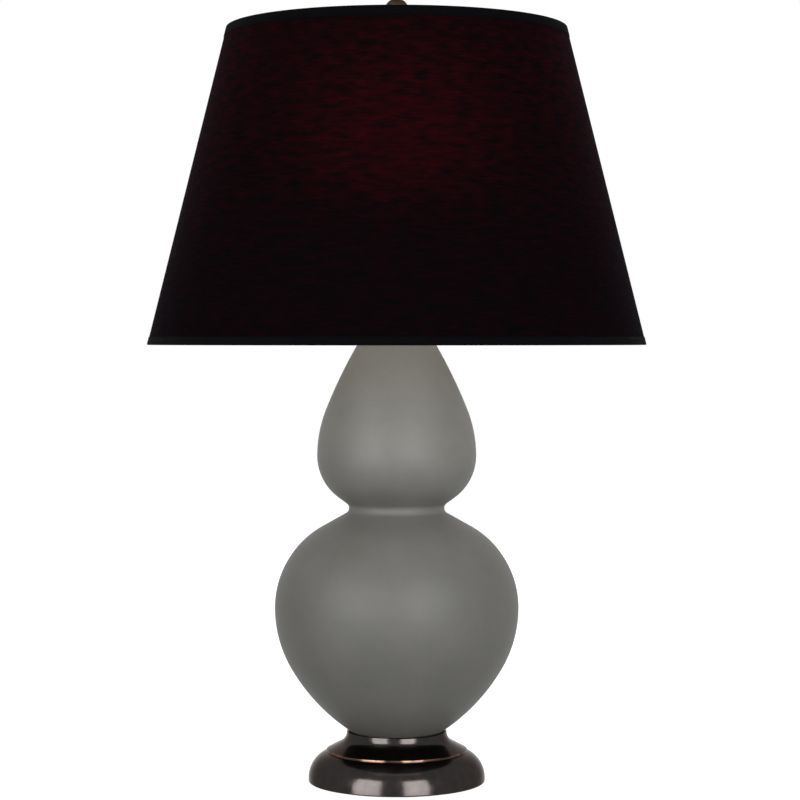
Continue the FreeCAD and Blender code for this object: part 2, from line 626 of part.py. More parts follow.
# --------------------------------------------------------------------------------------
# Gourd
# --------------------------------------------------------------------------------------
def gourd_outline(sketch, inset, foot, top, inner_radius):
    """The gourd's side from its foot to its neck as one chain of tangent lines and arcs, moved
    inwards by inset, and closed along the straight inner edge at inner_radius."""
    def reach(radius):
        return size(f"{radius} - ({inset})")

    def centred(belly_radius, belly_height, radius):
        """Centre of an arc that is upright at the belly's widest place."""
        return Vector(size(f"{belly_radius} - {radius}"), size(belly_height), 0)

    def on(centre, radius, angle):
        return centre + Vector(math.cos(angle), math.sin(angle), 0) * radius

    def arc(centre, radius, start, end):
        return Part.ArcOfCircle(Part.Circle(centre, UP, radius), start, end)

    waist_r = size(f"waist_curve + ({inset})")
    waist_c = Vector(size("waist_radius + waist_curve"), size("waist_height"), 0)

    def line_angle(centre, radius, sign):
        """Direction of the normal of the line that touches a belly arc and the waist."""
        across = waist_c - centre
        spread = math.acos((radius + waist_r) / across.Length)
        return math.atan2(across.y, across.x) + sign * spread

    turn_low = math.radians(size("lower_turn_angle"))
    turn_high = math.radians(size("upper_turn_angle"))
    flank_end = math.radians(size("upper_flank_angle"))
    lower = ("lower_belly_radius", "lower_belly_height")
    upper = ("upper_belly_radius", "upper_belly_height")
    c_over, r_over = centred(*lower, LOWER_OVER), reach(LOWER_OVER)
    c_under, r_under = centred(*lower, "lower_belly_under"), reach("lower_belly_under")
    c_over2, r_over2 = centred(*upper, "upper_belly_over"), reach("upper_belly_over")
    c_under2, r_under2 = centred(*upper, UPPER_UNDER), reach(UPPER_UNDER)
    c_flank_low = on(c_under, size("lower_belly_under - lower_flank"), -turn_low)
    r_flank_low = reach("lower_flank")
    c_flank = on(c_over2, size("upper_belly_over - upper_flank"), turn_high)
    r_flank = reach("upper_flank")
    foot_angle = math.asin((size(foot) - c_flank_low.y) / r_flank_low)
    rise = line_angle(c_over, r_over, -1)
    fall = line_angle(c_under2, r_under2, 1)
    neck_r = size(f"neck_curve + ({inset})")
    neck_x = size(f"neck_radius - ({inset})")
    neck_c = Vector(neck_x + neck_r, size(NECK_START), 0)
    neck_from = on(neck_c, neck_r, math.pi + flank_end)

    foot_point = on(c_flank_low, r_flank_low, foot_angle)
    inner_foot = Vector(size(inner_radius), size(foot), 0)
    inner_top = Vector(size(inner_radius), size(top), 0)
    neck_top = Vector(neck_x, size(top), 0)
    pieces = [
        (arc(c_flank_low, r_flank_low, foot_angle, -turn_low), START, END),
        (arc(c_under, r_under, -turn_low, 0), START, END),
        (arc(c_over, r_over, 0, rise), START, END),
        (Part.LineSegment(on(c_over, r_over, rise), on(waist_c, -waist_r, rise)), START, END),
        (arc(waist_c, waist_r, fall + math.pi, rise + math.pi), END, START),
        (Part.LineSegment(on(waist_c, -waist_r, fall), on(c_under2, r_under2, fall)), START, END),
        (arc(c_under2, r_under2, fall, 0), START, END),
        (arc(c_over2, r_over2, 0, turn_high), START, END),
        (arc(c_flank, r_flank, turn_high, flank_end), START, END),
        (Part.LineSegment(on(c_flank, r_flank, flank_end), neck_from), START, END),
        (arc(neck_c, neck_r, math.pi, math.pi + flank_end), END, START),
        (Part.LineSegment(Vector(neck_x, neck_c.y, 0), neck_top), START, END),
        (Part.LineSegment(neck_top, inner_top), START, END),
        (Part.LineSegment(inner_top, inner_foot), START, END),
        (Part.LineSegment(inner_foot, foot_point), START, END),
    ]
    (FLANK_LOW, UNDER, OVER, RISE, WAIST, FALL, UNDER2, OVER2, FLANK, SLOPE, NECK,
     NECK_SIDE, TOP, INNER, FOOT) = (sketch.addGeometry(piece[0]) for piece in pieces)
    out = {i: piece[2] for i, piece in enumerate(pieces)}
    into = {i: piece[1] for i, piece in enumerate(pieces)}

    def constrain(kind, *arguments):
        return sketch.addConstraint(Sketcher.Constraint(kind, *arguments))

    def smooth(a, b):
        constrain("Tangent", a, out[a], b, into[b])

    for a, b in ((FLANK_LOW, UNDER), (OVER, RISE), (RISE, WAIST), (WAIST, FALL), (FALL, UNDER2),
                 (OVER2, FLANK), (FLANK, SLOPE), (SLOPE, NECK), (NECK, NECK_SIDE)):
        smooth(a, b)
    for a, b in ((UNDER, OVER), (UNDER2, OVER2), (NECK_SIDE, TOP), (TOP, INNER),
                 (INNER, FOOT), (FOOT, FLANK_LOW)):
        constrain("Coincident", a, out[a], b, into[b])
    for index, radius in ((FLANK_LOW, "lower_flank"), (UNDER, "lower_belly_under"),
                          (OVER, LOWER_OVER), (UNDER2, UPPER_UNDER),
                          (OVER2, "upper_belly_over"), (FLANK, "upper_flank")):
        fix_radius(sketch, index, f"{radius} - ({inset})")
    for index, radius in ((WAIST, "waist_curve"), (NECK, "neck_curve")):
        fix_radius(sketch, index, f"{radius} + ({inset})")
    fix_point(sketch, OVER, START, f"lower_belly_radius - ({inset})", "lower_belly_height")
    fix_point(sketch, OVER2, START, f"upper_belly_radius - ({inset})", "upper_belly_height")
    for index in (OVER, OVER2, UNDER, UNDER2):
        constrain("Horizontal", index, CENTRE, index, END if index in (UNDER, UNDER2) else START)
    fix_distance(sketch, "DistanceY", FLANK_LOW, END,
                 f"lower_belly_height - (lower_belly_under - ({inset})) * sin(lower_turn_angle * 1 deg)")
    fix_distance(sketch, "DistanceY", FLANK_LOW, START, foot)
    fix_point(sketch, WAIST, CENTRE, "waist_radius + waist_curve", "waist_height")
    fix_distance(sketch, "DistanceY", OVER2, END,
                 f"upper_belly_height + (upper_belly_over - ({inset})) * sin(upper_turn_angle * 1 deg)")
    fix_distance(sketch, "DistanceY", FLANK, END,
                 f"{FLANK_TOP} - ({inset}) * sin(upper_flank_angle * 1 deg)")
    fix_distance(sketch, "DistanceX", NECK_SIDE, START, f"neck_radius - ({inset})")
    constrain("Vertical", NECK_SIDE)
    fix_point(sketch, TOP, END, inner_radius, top)
    constrain("Horizontal", TOP)
    fix_point(sketch, INNER, END, inner_radius, foot)


def make_gourd():
    body = new_body("gourd")
    side = new_sketch(body, "gourd_side")
    gourd_outline(side, "0", GOURD_FOOT, GOURD_TOP, "gourd_floor_hole")
    turn = body.newObject("PartDesign::Revolution", "gourd_turn")
    turn.Profile = side
    turn.ReferenceAxis = (side, ["V_Axis"])
    turn.Angle = 360
    doc.recompute()
    inside = new_sketch(body, "gourd_inside")
    gourd_outline(inside, "gourd_wall", f"{GOURD_FOOT} + gourd_floor",
                  f"{GOURD_TOP} + gourd_wall", "gourd_floor_hole / 2")
    grooved(body, inside)


# --------------------------------------------------------------------------------------
# Vase cap and spacer
# --------------------------------------------------------------------------------------
def make_cap():
    skirt = "(neck_radius + cap_skirt_clearance)"
    outer = f"({skirt} + cap_wall)"
    flat = f"({outer} - cap_edge)"  # where the cap's flat top gives way to its rounded edge
    topside = f"({CAP_SEAT} + cap_wall)"
    land = "(neck_radius - gourd_wall)"
    turned("cap_gasket", [
        (land, GOURD_TOP), (flat, GOURD_TOP), (flat, CAP_SEAT), (land, CAP_SEAT),
    ])
    turned("vase_cap", [
        (skirt, f"{topside} - cap_skirt"),
        (outer, f"{topside} - cap_skirt"),
        (outer, f"{topside} - cap_edge", "cap_edge"),
        (flat, topside),
        (f"{land} + cap_wall", topside, "-cap_dish"),
        ("cap_hub_radius", CAP_TOP),
        (ROD_HOLE, CAP_TOP),
        (ROD_HOLE, f"{CAP_TOP} - cap_wall"),
        ("cap_hub_radius - cap_wall / 2", f"{CAP_TOP} - cap_wall"),
        (land, CAP_SEAT),
        (flat, CAP_SEAT, "-(cap_edge - cap_wall)"),
        (skirt, f"{topside} - cap_edge"),
    ])
    turned("neck_spacer", [
        (ROD_HOLE, CAP_TOP),
        ("spacer_foot_radius", CAP_TOP),
        ("spacer_foot_radius", f"{CAP_TOP} + spacer_foot_height"),
        ("spacer_waist_radius", f"{CAP_TOP} + spacer_waist_height", "-spacer_sweep"),
        ("spacer_head_radius", f"{SPACER_TOP} - spacer_head_height"),
        ("spacer_head_radius", SPACER_TOP),
        (ROD_HOLE, SPACER_TOP),
    ])


# --------------------------------------------------------------------------------------
# Saddle, harp, sleeves and stud
# --------------------------------------------------------------------------------------
def make_saddle():
    body = new_body("harp_saddle")
    inner = "(harp_leg_spread + harp_wire + harp_leg_gap)"
    outer = f"({inner} + saddle_strip)"
    bend, outer_bend = "saddle_bend", "(saddle_bend + saddle_strip)"
    strip = new_sketch(body, "saddle_strip_side")
    draw(strip, [
        (f"-({outer} - {outer_bend})", SADDLE),
        (f"{outer} - {outer_bend}", SADDLE, outer_bend),
        (outer, f"{SADDLE} + {outer_bend}"),
        (outer, SHOULDER),
        (inner, SHOULDER),
        (inner, f"{SADDLE} + {outer_bend}", f"-{bend}"),
        (f"{inner} - {bend}", SOCKET),
        (f"-({inner} - {bend})", SOCKET, f"-{bend}"),
        (f"-{inner}", f"{SADDLE} + {outer_bend}"),
        (f"-{inner}", SHOULDER),
        (f"-{outer}", SHOULDER),
        (f"-{outer}", f"{SADDLE} + {outer_bend}", outer_bend),
    ])
    padded(body, strip, "saddle_width", middle=True)
    for name, sign in (("right", ""), ("left", "-")):
        tongue = new_sketch(body, "tongue_" + name)
        tip = f"{SHOULDER} + saddle_tongue"
        near, far = f"{sign}{inner}", f"{sign}{outer}"
        draw(tongue, [(near, SHOULDER), (far, SHOULDER), (far, tip), (near, tip)])
        padded(body, tongue, "saddle_tongue_width", middle=True)
    hole = new_sketch(body, "saddle_hole", "XY_Plane", SADDLE)
    draw_circle(hole, "0", "0", ROD_HOLE)
    cut(body, hole, "saddle_strip", reverse=True)


def make_harp():
    """One wire, bowed out round the bulb, with a flattened eye at its top for the stud."""
    body = new_body("harp")
    eye = new_sketch(body, "eye", "XY_Plane", f"{HARP_TOP} - harp_eye_thickness / 2")
    draw_circle(eye, "0", "0", "harp_eye_radius")
    padded(body, eye, "harp_eye_thickness")

    leg_top = f"({LEG_END} + harp_leg_length)"
    widest = f"({SADDLE} + harp_widest)"
    # the leg swings out and back to upright at the widest place, in two equal arcs
    swing = f"(2 * atan((harp_half_width - harp_leg_spread) / ({widest} - {leg_top})))"
    bow = f"(({widest} - {leg_top}) / sin({swing}) / 2)"
    # the upper bow: a wide arc, then a tight one to the level stretch at the top
    turn = "(harp_shoulder_angle * 1 deg)"
    across, rise = "(harp_half_width - harp_top_flat)", f"({HARP_TOP} - {widest})"
    tight = (f"(({across} * sin{turn} - {rise} * (1 - cos{turn}))"
             f" / (sin{turn} + cos{turn} - 1))")
    wide = f"(({rise} - {tight} * (1 - sin{turn})) / sin{turn})"
    path = new_sketch(body, "harp_path")
    draw(path, [
        ("harp_leg_spread", LEG_END),
        ("harp_leg_spread", leg_top, f"-{bow}"),
        ("(harp_half_width + harp_leg_spread) / 2", f"({leg_top} + {widest}) / 2", bow),
        ("harp_half_width", widest, wide),
        (f"harp_half_width - {wide} * (1 - cos{turn})", f"{widest} + {wide} * sin{turn}", tight),
        ("harp_top_flat", HARP_TOP),
        ("harp_eye_radius / 2", HARP_TOP),
    ], closed=False)
    section = new_sketch(body, "harp_section", "XY_Plane", LEG_END)
    draw_circle(section, "harp_leg_spread", "0", "harp_wire")
    wire = swept(body, "harp_side", path, section)
    mirror = body.newObject("PartDesign::Mirrored", "harp_other_side")
    mirror.Originals = [wire]
    mirror.MirrorPlane = (plane(body, "YZ_Plane"), [""])
    body.Tip = mirror
    doc.recompute()
    bore = new_sketch(body, "eye_bore", "XY_Plane", f"{HARP_TOP} - harp_eye_thickness")
    draw_circle(bore, "0", "0", "shank_radius + running_clearance")
    cut(body, bore, "harp_eye_thickness * 2", reverse=True)


def make_sleeves():
    """The two sleeves that drop over the joints of harp and saddle."""
    middle = "(harp_leg_spread + (harp_leg_gap + saddle_strip) / 2)"
    for label, sign in (("harp_sleeve_right", ""), ("harp_sleeve_left", "-")):
        body = new_body(label)
        height = f"{SHOULDER} + part_clearance"
        ring = new_sketch(body, label + "_ring", "XY_Plane", height)
        draw_circle(ring, f"{sign}{middle}", "0", "sleeve_bore + sleeve_wall")
        draw_circle(ring, f"{sign}{middle}", "0", "sleeve_bore")
        padded(body, ring, "sleeve_length")


def make_stud():
    """The stud that swivels in the harp's eye and carries the shade."""
    under = f"({HARP_TOP} - harp_eye_thickness / 2 - part_clearance)"
    plate = f"({PLATE_TOP} - stud_plate_thickness)"
    top = f"{HUB_TOP} + stud_length"
    turned("harp_stud", [
        ("0", f"{under} - stud_head_thickness"),
        ("stud_head_radius - stud_head_thickness / 2", f"{under} - stud_head_thickness"),
        ("stud_head_radius", f"{under} - stud_head_thickness / 2"),
        ("stud_head_radius", under),
        ("shank_radius", under),
        ("shank_radius", plate),
        ("stud_plate_radius", plate),
        ("stud_plate_radius", PLATE_TOP),
        ("stud_radius", PLATE_TOP),
        ("stud_radius", f"{top} - stud_tip"),
        ("stud_radius - stud_tip", top),
        ("0", top),
    ])


# --------------------------------------------------------------------------------------
# Socket and switch
# --------------------------------------------------------------------------------------
def shaft_hole(body, name, radius):
    """A hole for the switch shaft through a piece's front wall."""
    sketch = new_sketch(body, name)
    draw_circle(sketch, "0", SWITCH, radius)
    cut(body, sketch, "socket_cap_radius", reverse=True)


def make_socket():
    cap_in = "(socket_cap_radius - socket_metal)"
    shoulder = f"({SOCKET} + socket_cap_shoulder)"
    turned("socket_cap", [
        (ROD_HOLE, SOCKET),
        ("socket_cap_hub", SOCKET, "socket_cap_curve"),
        ("socket_cap_radius", shoulder),
        ("socket_cap_radius", f"{SOCKET} + socket_cap_height"),
        (cap_in, f"{SOCKET} + socket_cap_height"),
        (cap_in, shoulder, "-socket_cap_curve"),
        ("socket_cap_hub - socket_metal", f"{SOCKET} + socket_metal"),
        (ROD_HOLE, f"{SOCKET} + socket_metal"),
    ])
    shell_in = f"({SHELL_RADIUS} - socket_metal)"
    shell_top = f"({SHELL_BASE} + socket_shell_height)"
    shell = turned("socket_shell", [
        (shell_in, SHELL_BASE), (SHELL_RADIUS, SHELL_BASE),
        (SHELL_RADIUS, f"{shell_top} - socket_bead", "socket_bead_curve"),
        (SHELL_RADIUS, shell_top),
        (shell_in, shell_top),
    ])
    hole = "switch_shaft_radius + part_clearance"
    shaft_hole(shell, "shell_hole", hole)

    insulator_in = f"({INSULATOR_RADIUS} - insulator_wall)"
    insulator_top = f"({SHELL_BASE} + insulator_height)"
    insulator = turned("socket_insulator", [
        (insulator_in, SHELL_BASE), (INSULATOR_RADIUS, SHELL_BASE),
        (INSULATOR_RADIUS, insulator_top), (insulator_in, insulator_top),
    ])
    shaft_hole(insulator, "insulator_hole", hole)

    core = turned("socket_core", [
        ("0", CORE), (CORE_RADIUS, CORE), (CORE_RADIUS, CORE_TOP), ("0", CORE_TOP),
    ])
    shaft_hole(core, "core_hole", "switch_shaft_radius + running_clearance")
    screws = new_body("terminal_screws")
    screws.AllowCompound = True
    for side, sign in (("right", ""), ("left", "-")):
        flat = new_sketch(core, "flat_" + side, "YZ_Plane", f"{sign}terminal_flat")
        low = f"{CORE} + terminal_rise - terminal_flat_height / 2"
        high = f"{CORE} + terminal_rise + terminal_flat_height / 2"
        wide = "2 * terminal_screw_radius"
        draw(flat, [(f"-{wide}", low), (wide, low), (wide, high), (f"-{wide}", high)])
        cut(core, flat, CORE_RADIUS, reverse=(sign == ""))
        head = new_sketch(screws, "screw_" + side, "YZ_Plane", f"{sign}terminal_flat")
        draw_circle(head, "0", f"{CORE} + terminal_rise", "terminal_screw_radius")
        padded(screws, head, "terminal_screw_head", reverse=(sign == "-"))

    screw_out = "(screw_shell_bore + screw_shell_wall)"
    turned("screw_shell", [
        ("screw_shell_bore", CORE_TOP), (screw_out, CORE_TOP),
        (screw_out, f"{CORE_TOP} + screw_shell_height"),
        ("screw_shell_bore", f"{CORE_TOP} + screw_shell_height"),
    ])
    turned("socket_contact", [
        ("0", CORE_TOP), ("contact_radius", CORE_TOP),
        ("contact_radius", f"{CORE_TOP} + contact_height / 2"),
        ("contact_radius / 2", f"{CORE_TOP} + contact_height"),
        ("0", f"{CORE_TOP} + contact_height"),
    ])


def make_switch():
    """The shaft comes out of the socket at the front, and carries a grooved knob."""
    knob_face = "(socket_cap_radius + switch_stand_off)"
    shaft = new_body("switch_shaft")
    round_bar = new_sketch(shaft, "shaft_section", "XZ_Plane", "part_clearance")
    draw_circle(round_bar, "0", SWITCH, "switch_shaft_radius")
    padded(shaft, round_bar, f"{knob_face} + knob_bore_depth - part_clearance")

    knob = new_body("switch_knob")
    outline = new_sketch(knob, "knob_section", "XZ_Plane", knob_face)
    draw_circle(outline, "0", "0", "knob_radius")
    padded(knob, outline, "knob_length")
    groove = new_sketch(knob, "knob_groove_section", "XZ_Plane", knob_face)
    draw_circle(groove, "0", "knob_radius", "knob_groove")
    notch = cut(knob, groove, "knob_length", reverse=True)
    ring = knob.newObject("PartDesign::PolarPattern", "knob_groove_ring")
    ring.Originals = [notch]
    ring.Axis = (plane(knob, "Y_Axis"), [""])
    ring.Angle = 360
    ring.setExpression("Occurrences", bound("knob_grooves"))
    knob.Tip = ring
    doc.recompute()
    bore = new_sketch(knob, "knob_bore", "XZ_Plane", knob_face)
    draw_circle(bore, "0", "0", "switch_shaft_radius + thread_clearance")
    cut(knob, bore, "knob_bore_depth", reverse=True)
    knob.setExpression("Placement.Base.z", bound(SWITCH))
    doc.recompute()


# --------------------------------------------------------------------------------------
# Bulb
# --------------------------------------------------------------------------------------
def make_bulb():
    tip_top = f"({BULB_TIP} + bulb_contact_thickness)"
    turned("bulb_contact", [
        ("0", BULB_TIP),
        ("bulb_contact_radius / 2", BULB_TIP),
        ("bulb_contact_radius", tip_top),
        ("0", tip_top),
    ])
    cone = f"({BULB_TIP} + bulb_base_cone)"
    turned("bulb_insulator", [
        ("0", f"{tip_top} + thread_clearance"),
        ("bulb_insulator_radius", f"{tip_top} + thread_clearance"),
        ("bulb_base_radius - 2 * bulb_base_wall", cone),
        ("0", cone),
    ])
    base_top = f"({BULB_TIP} + bulb_base_height)"
    turned("bulb_base", [
        ("0", cone),
        ("bulb_base_radius - bulb_base_wall", cone),
        ("bulb_base_radius", f"{cone} + bulb_base_wall"),
        ("bulb_base_radius", base_top),
        ("bulb_base_radius - bulb_base_wall", base_top),
        ("bulb_base_radius - bulb_base_wall", f"{cone} + bulb_base_wall"),
        ("0", f"{cone} + bulb_base_wall"),
    ])

    neck_top = f"({base_top} + bulb_neck_rise)"
    neck_foot = f"({base_top} - bulb_neck_depth)"
    reach = "(bulb_radius - bulb_neck_radius)"
    # the flare from neck to globe touches both, which settles its radius and where it ends
    flare = (f"((({BULB_CENTRE} - {neck_top}) ^ 2 - bulb_radius ^ 2 + bulb_neck_radius ^ 2)"
             f" / (2 * {reach}))")
    share = f"(bulb_radius / (bulb_radius + {flare}))"
    meet_x = f"({share} * (bulb_neck_radius + {flare}))"
    meet_y = f"({BULB_CENTRE} - {share} * ({BULB_CENTRE} - {neck_top}))"
    inner = f"((bulb_radius - bulb_glass_wall) / (bulb_radius + {flare}))"
    inner_x = f"({inner} * (bulb_neck_radius + {flare}))"
    inner_y = f"({BULB_CENTRE} - {inner} * ({BULB_CENTRE} - {neck_top}))"
    neck_in = "(bulb_neck_radius - bulb_glass_wall)"
    turned("bulb_glass", [
        (neck_in, neck_foot),
        ("bulb_neck_radius", neck_foot),
        ("bulb_neck_radius", neck_top, f"-{flare}"),
        (meet_x, meet_y, "bulb_radius"),
        ("bulb_radius", BULB_CENTRE, "bulb_radius"),
        ("0", f"{BULB_CENTRE} + bulb_radius"),
        ("0", f"{BULB_CENTRE} + bulb_radius - bulb_glass_wall", "-(bulb_radius - bulb_glass_wall)"),
        ("bulb_radius - bulb_glass_wall", BULB_CENTRE, "-(bulb_radius - bulb_glass_wall)"),
        (inner_x, inner_y, f"({flare} + bulb_glass_wall)"),
        (neck_in, neck_top),
    ])

    stem_top = f"({BULB_CENTRE} - bulb_stem_drop)"
    turned("bulb_stem", [
        ("0", neck_foot),
        (f"{neck_in} - layer_gap", neck_foot),
        (f"{neck_in} - layer_gap", f"{neck_foot} + bulb_glass_wall"),
        ("bulb_stem_radius", f"{neck_foot} + bulb_stem_flare"),
        ("bulb_stem_radius", f"{stem_top} - bulb_stem_flare"),
        ("filament_ring + filament_wire", stem_top),
        ("0", stem_top),
    ])
    ring_of_wire("bulb_filament", "filament_ring", f"{stem_top} + filament_wire", "filament_wire")


# --------------------------------------------------------------------------------------
# Shade: hub, arms, rim wires, liner, cover and hems
# --------------------------------------------------------------------------------------
def ring_of_wire(label, radius, height, wire):
    """A hoop of round wire about Z."""
    body = new_body(label)
    sketch = new_sketch(body, label + "_section")
    draw_circle(sketch, radius, height, wire)
    hoop = body.newObject("PartDesign::Revolution", label + "_turn")
    hoop.Profile = sketch
    hoop.ReferenceAxis = (sketch, ["V_Axis"])
    hoop.Angle = 360
    doc.recompute()
    return body


def conical_layer(label, inset, thickness):
    """A thin cone of cloth or sheet that lies inset inwards from the cover's outer face."""
    turned(label, [
        (f"shade_bottom_radius - {inset} - {thickness}", SHADE_BOTTOM),
        (f"shade_bottom_radius - {inset}", SHADE_BOTTOM),
        (f"shade_top_radius - {inset}", SHADE_TOP),
        (f"shade_top_radius - {inset} - {thickness}", SHADE_TOP),
    ])


def make_shade():
    conical_layer("shade_cover", "0", "cover_thickness")
    conical_layer("shade_liner", "(cover_thickness + layer_gap)", "liner_thickness")

    layers = "(cover_thickness + layer_gap + liner_thickness)"
    wire_reach = f"(rim_wire * sqrt(1 + {SHADE_SLOPE} ^ 2) + layer_gap)"
    top_wire_height = f"({SHADE_TOP} - rim_wire - layer_gap)"
    bottom_wire_height = f"({SHADE_BOTTOM} + rim_wire + layer_gap)"
    top_wire = f"({shade_radius(top_wire_height)} - {layers} - {wire_reach})"
    bottom_wire = f"({shade_radius(bottom_wire_height)} - {layers} - {wire_reach})"
    ring_of_wire("top_rim_wire", top_wire, top_wire_height, "rim_wire")
    ring_of_wire("bottom_rim_wire", bottom_wire, bottom_wire_height, "rim_wire")

    # each hem is a folded tape: over the cover, round the edge and down inside the rim wire
    fold = "(layer_gap + hem_thickness)"
    hem_low = f"({SHADE_TOP} - top_hem_width)"
    inside = f"({top_wire} - rim_wire - layer_gap)"
    top_hem = turned("top_hem", [
        (f"{shade_radius(hem_low)} + layer_gap", hem_low),
        (f"{shade_radius(hem_low)} + {fold}", hem_low),
        (f"shade_top_radius + {fold}", f"{SHADE_TOP} + {fold}"),
        (f"{inside} - hem_thickness", f"{SHADE_TOP} + {fold}"),
        (f"{inside} - hem_thickness", hem_low),
        (inside, hem_low),
        (inside, f"{SHADE_TOP} + layer_gap"),
        ("shade_top_radius + layer_gap", f"{SHADE_TOP} + layer_gap"),
    ])
    slit = new_sketch(top_hem, "arm_slit")
    half = "(spider_wire + part_clearance)"
    slit_top = f"({top_wire_height} + {half})"
    draw(slit, [(f"-{half}", f"{hem_low} - hem_thickness"), (half, f"{hem_low} - hem_thickness"),
                (half, slit_top), (f"-{half}", slit_top)])
    around(top_hem, cut(top_hem, slit, f"{inside} + layer_gap / 2"), "spider_arms")

    hem_high = f"({SHADE_BOTTOM} + bottom_hem_width)"
    inside = f"({bottom_wire} - rim_wire - layer_gap)"
    turned("bottom_hem", [
        (f"{shade_radius(hem_high)} + layer_gap", hem_high),
        ("shade_bottom_radius + layer_gap", f"{SHADE_BOTTOM} - layer_gap"),
        (inside, f"{SHADE_BOTTOM} - layer_gap"),
        (inside, hem_high),
        (f"{inside} - hem_thickness", hem_high),
        (f"{inside} - hem_thickness", f"{SHADE_BOTTOM} - {fold}"),
        (f"shade_bottom_radius + {fold}", f"{SHADE_BOTTOM} - {fold}"),
        (f"{shade_radius(hem_high)} + {fold}", hem_high),
    ])

    hub_bore = "(stud_radius + hub_hole_clearance)"
    turned("spider_hub", [
        (hub_bore, HUB), ("hub_radius", HUB), ("hub_radius", HUB_TOP), (hub_bore, HUB_TOP),
    ])

    arms = new_body("spider_arms")
    arms.AllowCompound = True
    level = f"({HUB_TOP} + spider_wire)"
    climb = f"(({top_wire_height} - {level}) / 2)"
    lean = f"(2 * atan({climb} * 2 / arm_bend))"
    bend = f"(arm_bend / 2 / sin{lean})"
    path = new_sketch(arms, "arm_path", "YZ_Plane")
    draw(path, [
        ("arm_start", level),
        ("arm_flat", level, bend),
        ("arm_flat + arm_bend / 2", f"{level} + {climb}", f"-{bend}"),
        ("arm_flat + arm_bend", top_wire_height),
        (top_wire, top_wire_height),
    ], closed=False)
    section = new_sketch(arms, "arm_section", "XZ_Plane", "-arm_start")
    draw_circle(section, "0", level, "spider_wire")
    around(arms, swept(arms, "arm", path, section), "spider_arms")
    notch = new_sketch(arms, "arm_end_hollow")
    draw_circle(notch, top_wire, top_wire_height, "rim_wire + layer_gap / 2")
    grooved(arms, notch)


# --------------------------------------------------------------------------------------
# Finial and its threaded bush
# --------------------------------------------------------------------------------------
def make_finial():
    bush_bore = "(stud_radius + running_clearance)"
    bush_out = f"({bush_bore} + finial_bush_wall)"
    bore = f"({bush_out} + thread_clearance)"
    bush_top = f"({HUB_TOP} + stud_length + finial_bore_spare)"
    turned("finial_bush", [
        (bush_bore, FINIAL), (bush_out, FINIAL), (bush_out, bush_top), (bush_bore, bush_top),
    ])
    base_top = f"({FINIAL} + finial_base_height)"
    stem_top = f"({FINIAL} + finial_stem_height)"
    ball = f"({FINIAL} + finial_ball_rise)"
    under = f"({ball} - sqrt(finial_ball ^ 2 - finial_neck_radius ^ 2))"
    over = f"({ball} + sqrt(finial_ball ^ 2 - finial_tip_radius ^ 2))"
    tip = f"({FINIAL} + finial_height)"
    narrow = "(finial_stem_radius - finial_neck_radius)"
    turned("finial", [
        (bore, FINIAL),
        ("finial_base_radius - finial_rounding", FINIAL, "finial_rounding"),
        ("finial_base_radius", f"{FINIAL} + finial_rounding"),
        ("finial_base_radius", f"{base_top} - finial_rounding", "finial_rounding"),
        ("finial_base_radius - finial_rounding", base_top),
        ("finial_stem_radius", base_top),
        ("finial_stem_radius", f"{stem_top} - {narrow}", narrow),
        ("finial_neck_radius", stem_top),
        ("finial_neck_radius", under, "finial_ball"),
        ("finial_ball", ball, "finial_ball"),
        ("finial_tip_radius", over),
        ("finial_tip_radius", f"{tip} - finial_rounding", "finial_rounding"),
        ("finial_tip_radius - finial_rounding", tip),
        ("0", tip),
        ("0", f"{bush_top} + thread_clearance"),
        (bore, f"{bush_top} + thread_clearance"),
    ])


# --------------------------------------------------------------------------------------
# Build, test and write
# --------------------------------------------------------------------------------------
def check_document():
    """Stops if any object failed, and returns the finished pieces."""
    for thing in doc.Objects:
        if {"Invalid", "Error"} & set(thing.State):
            raise RuntimeError(f"{thing.Name} failed: {thing.State}")
        if thing.TypeId == "Sketcher::SketchObject" and not thing.FullyConstrained:
            raise RuntimeError(f"{thing.Name} is not fully constrained")
    pieces = [thing for thing in doc.Objects if thing.TypeId == "PartDesign::Body"]
    for piece in pieces:
        if piece.Shape.isNull() or not piece.Shape.isValid() or not piece.Shape.Solids:
            raise RuntimeError(f"{piece.Label} has no valid solid")
    return pieces


def write(pieces):
    os.makedirs("parts", exist_ok=True)
    whole = FreeCAD.BoundBox()
    for piece in pieces:
        shape = piece.Shape
        shape.exportStep(f"parts/{piece.Label}.step")
        box = shape.optimalBoundingBox()
        whole.add(box)
        print(f"{piece.Label:18s} {len(shape.Solids)} solid(s) {shape.Volume:12.1f} mm3  "
              f"radius {max(box.XMax, box.YMax):6.1f}  z {box.ZMin:6.1f} to {box.ZMax:6.1f}")
    print(f"{len(pieces)} pieces, {whole.XLength:.1f} x {whole.YLength:.1f} x {whole.ZLength:.1f} mm")


def main():
    make_foot()
    make_rod()
    make_gourd()
    make_cap()
    make_saddle()
    make_harp()
    make_sleeves()
    make_stud()
    make_socket()
    make_switch()
    make_bulb()
    make_shade()
    make_finial()
    doc.recompute()
    write(check_document())


main()
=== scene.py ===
# %% [markdown]
# # A double gourd table lamp
# The lamp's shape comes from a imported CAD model. Here it gets what a camera sees and a solid model
# lacks: glaze, spun bronze, slubbed cloth over a lining, folded tape, a bulb that glows, and light.
# The model is loaded as a fixed frame, in metres, with +Z up, the lamp's axis on Z and its front
# towards -Y. Each cell below makes one thing and prints what it made.

# %% The frame
import json
import math

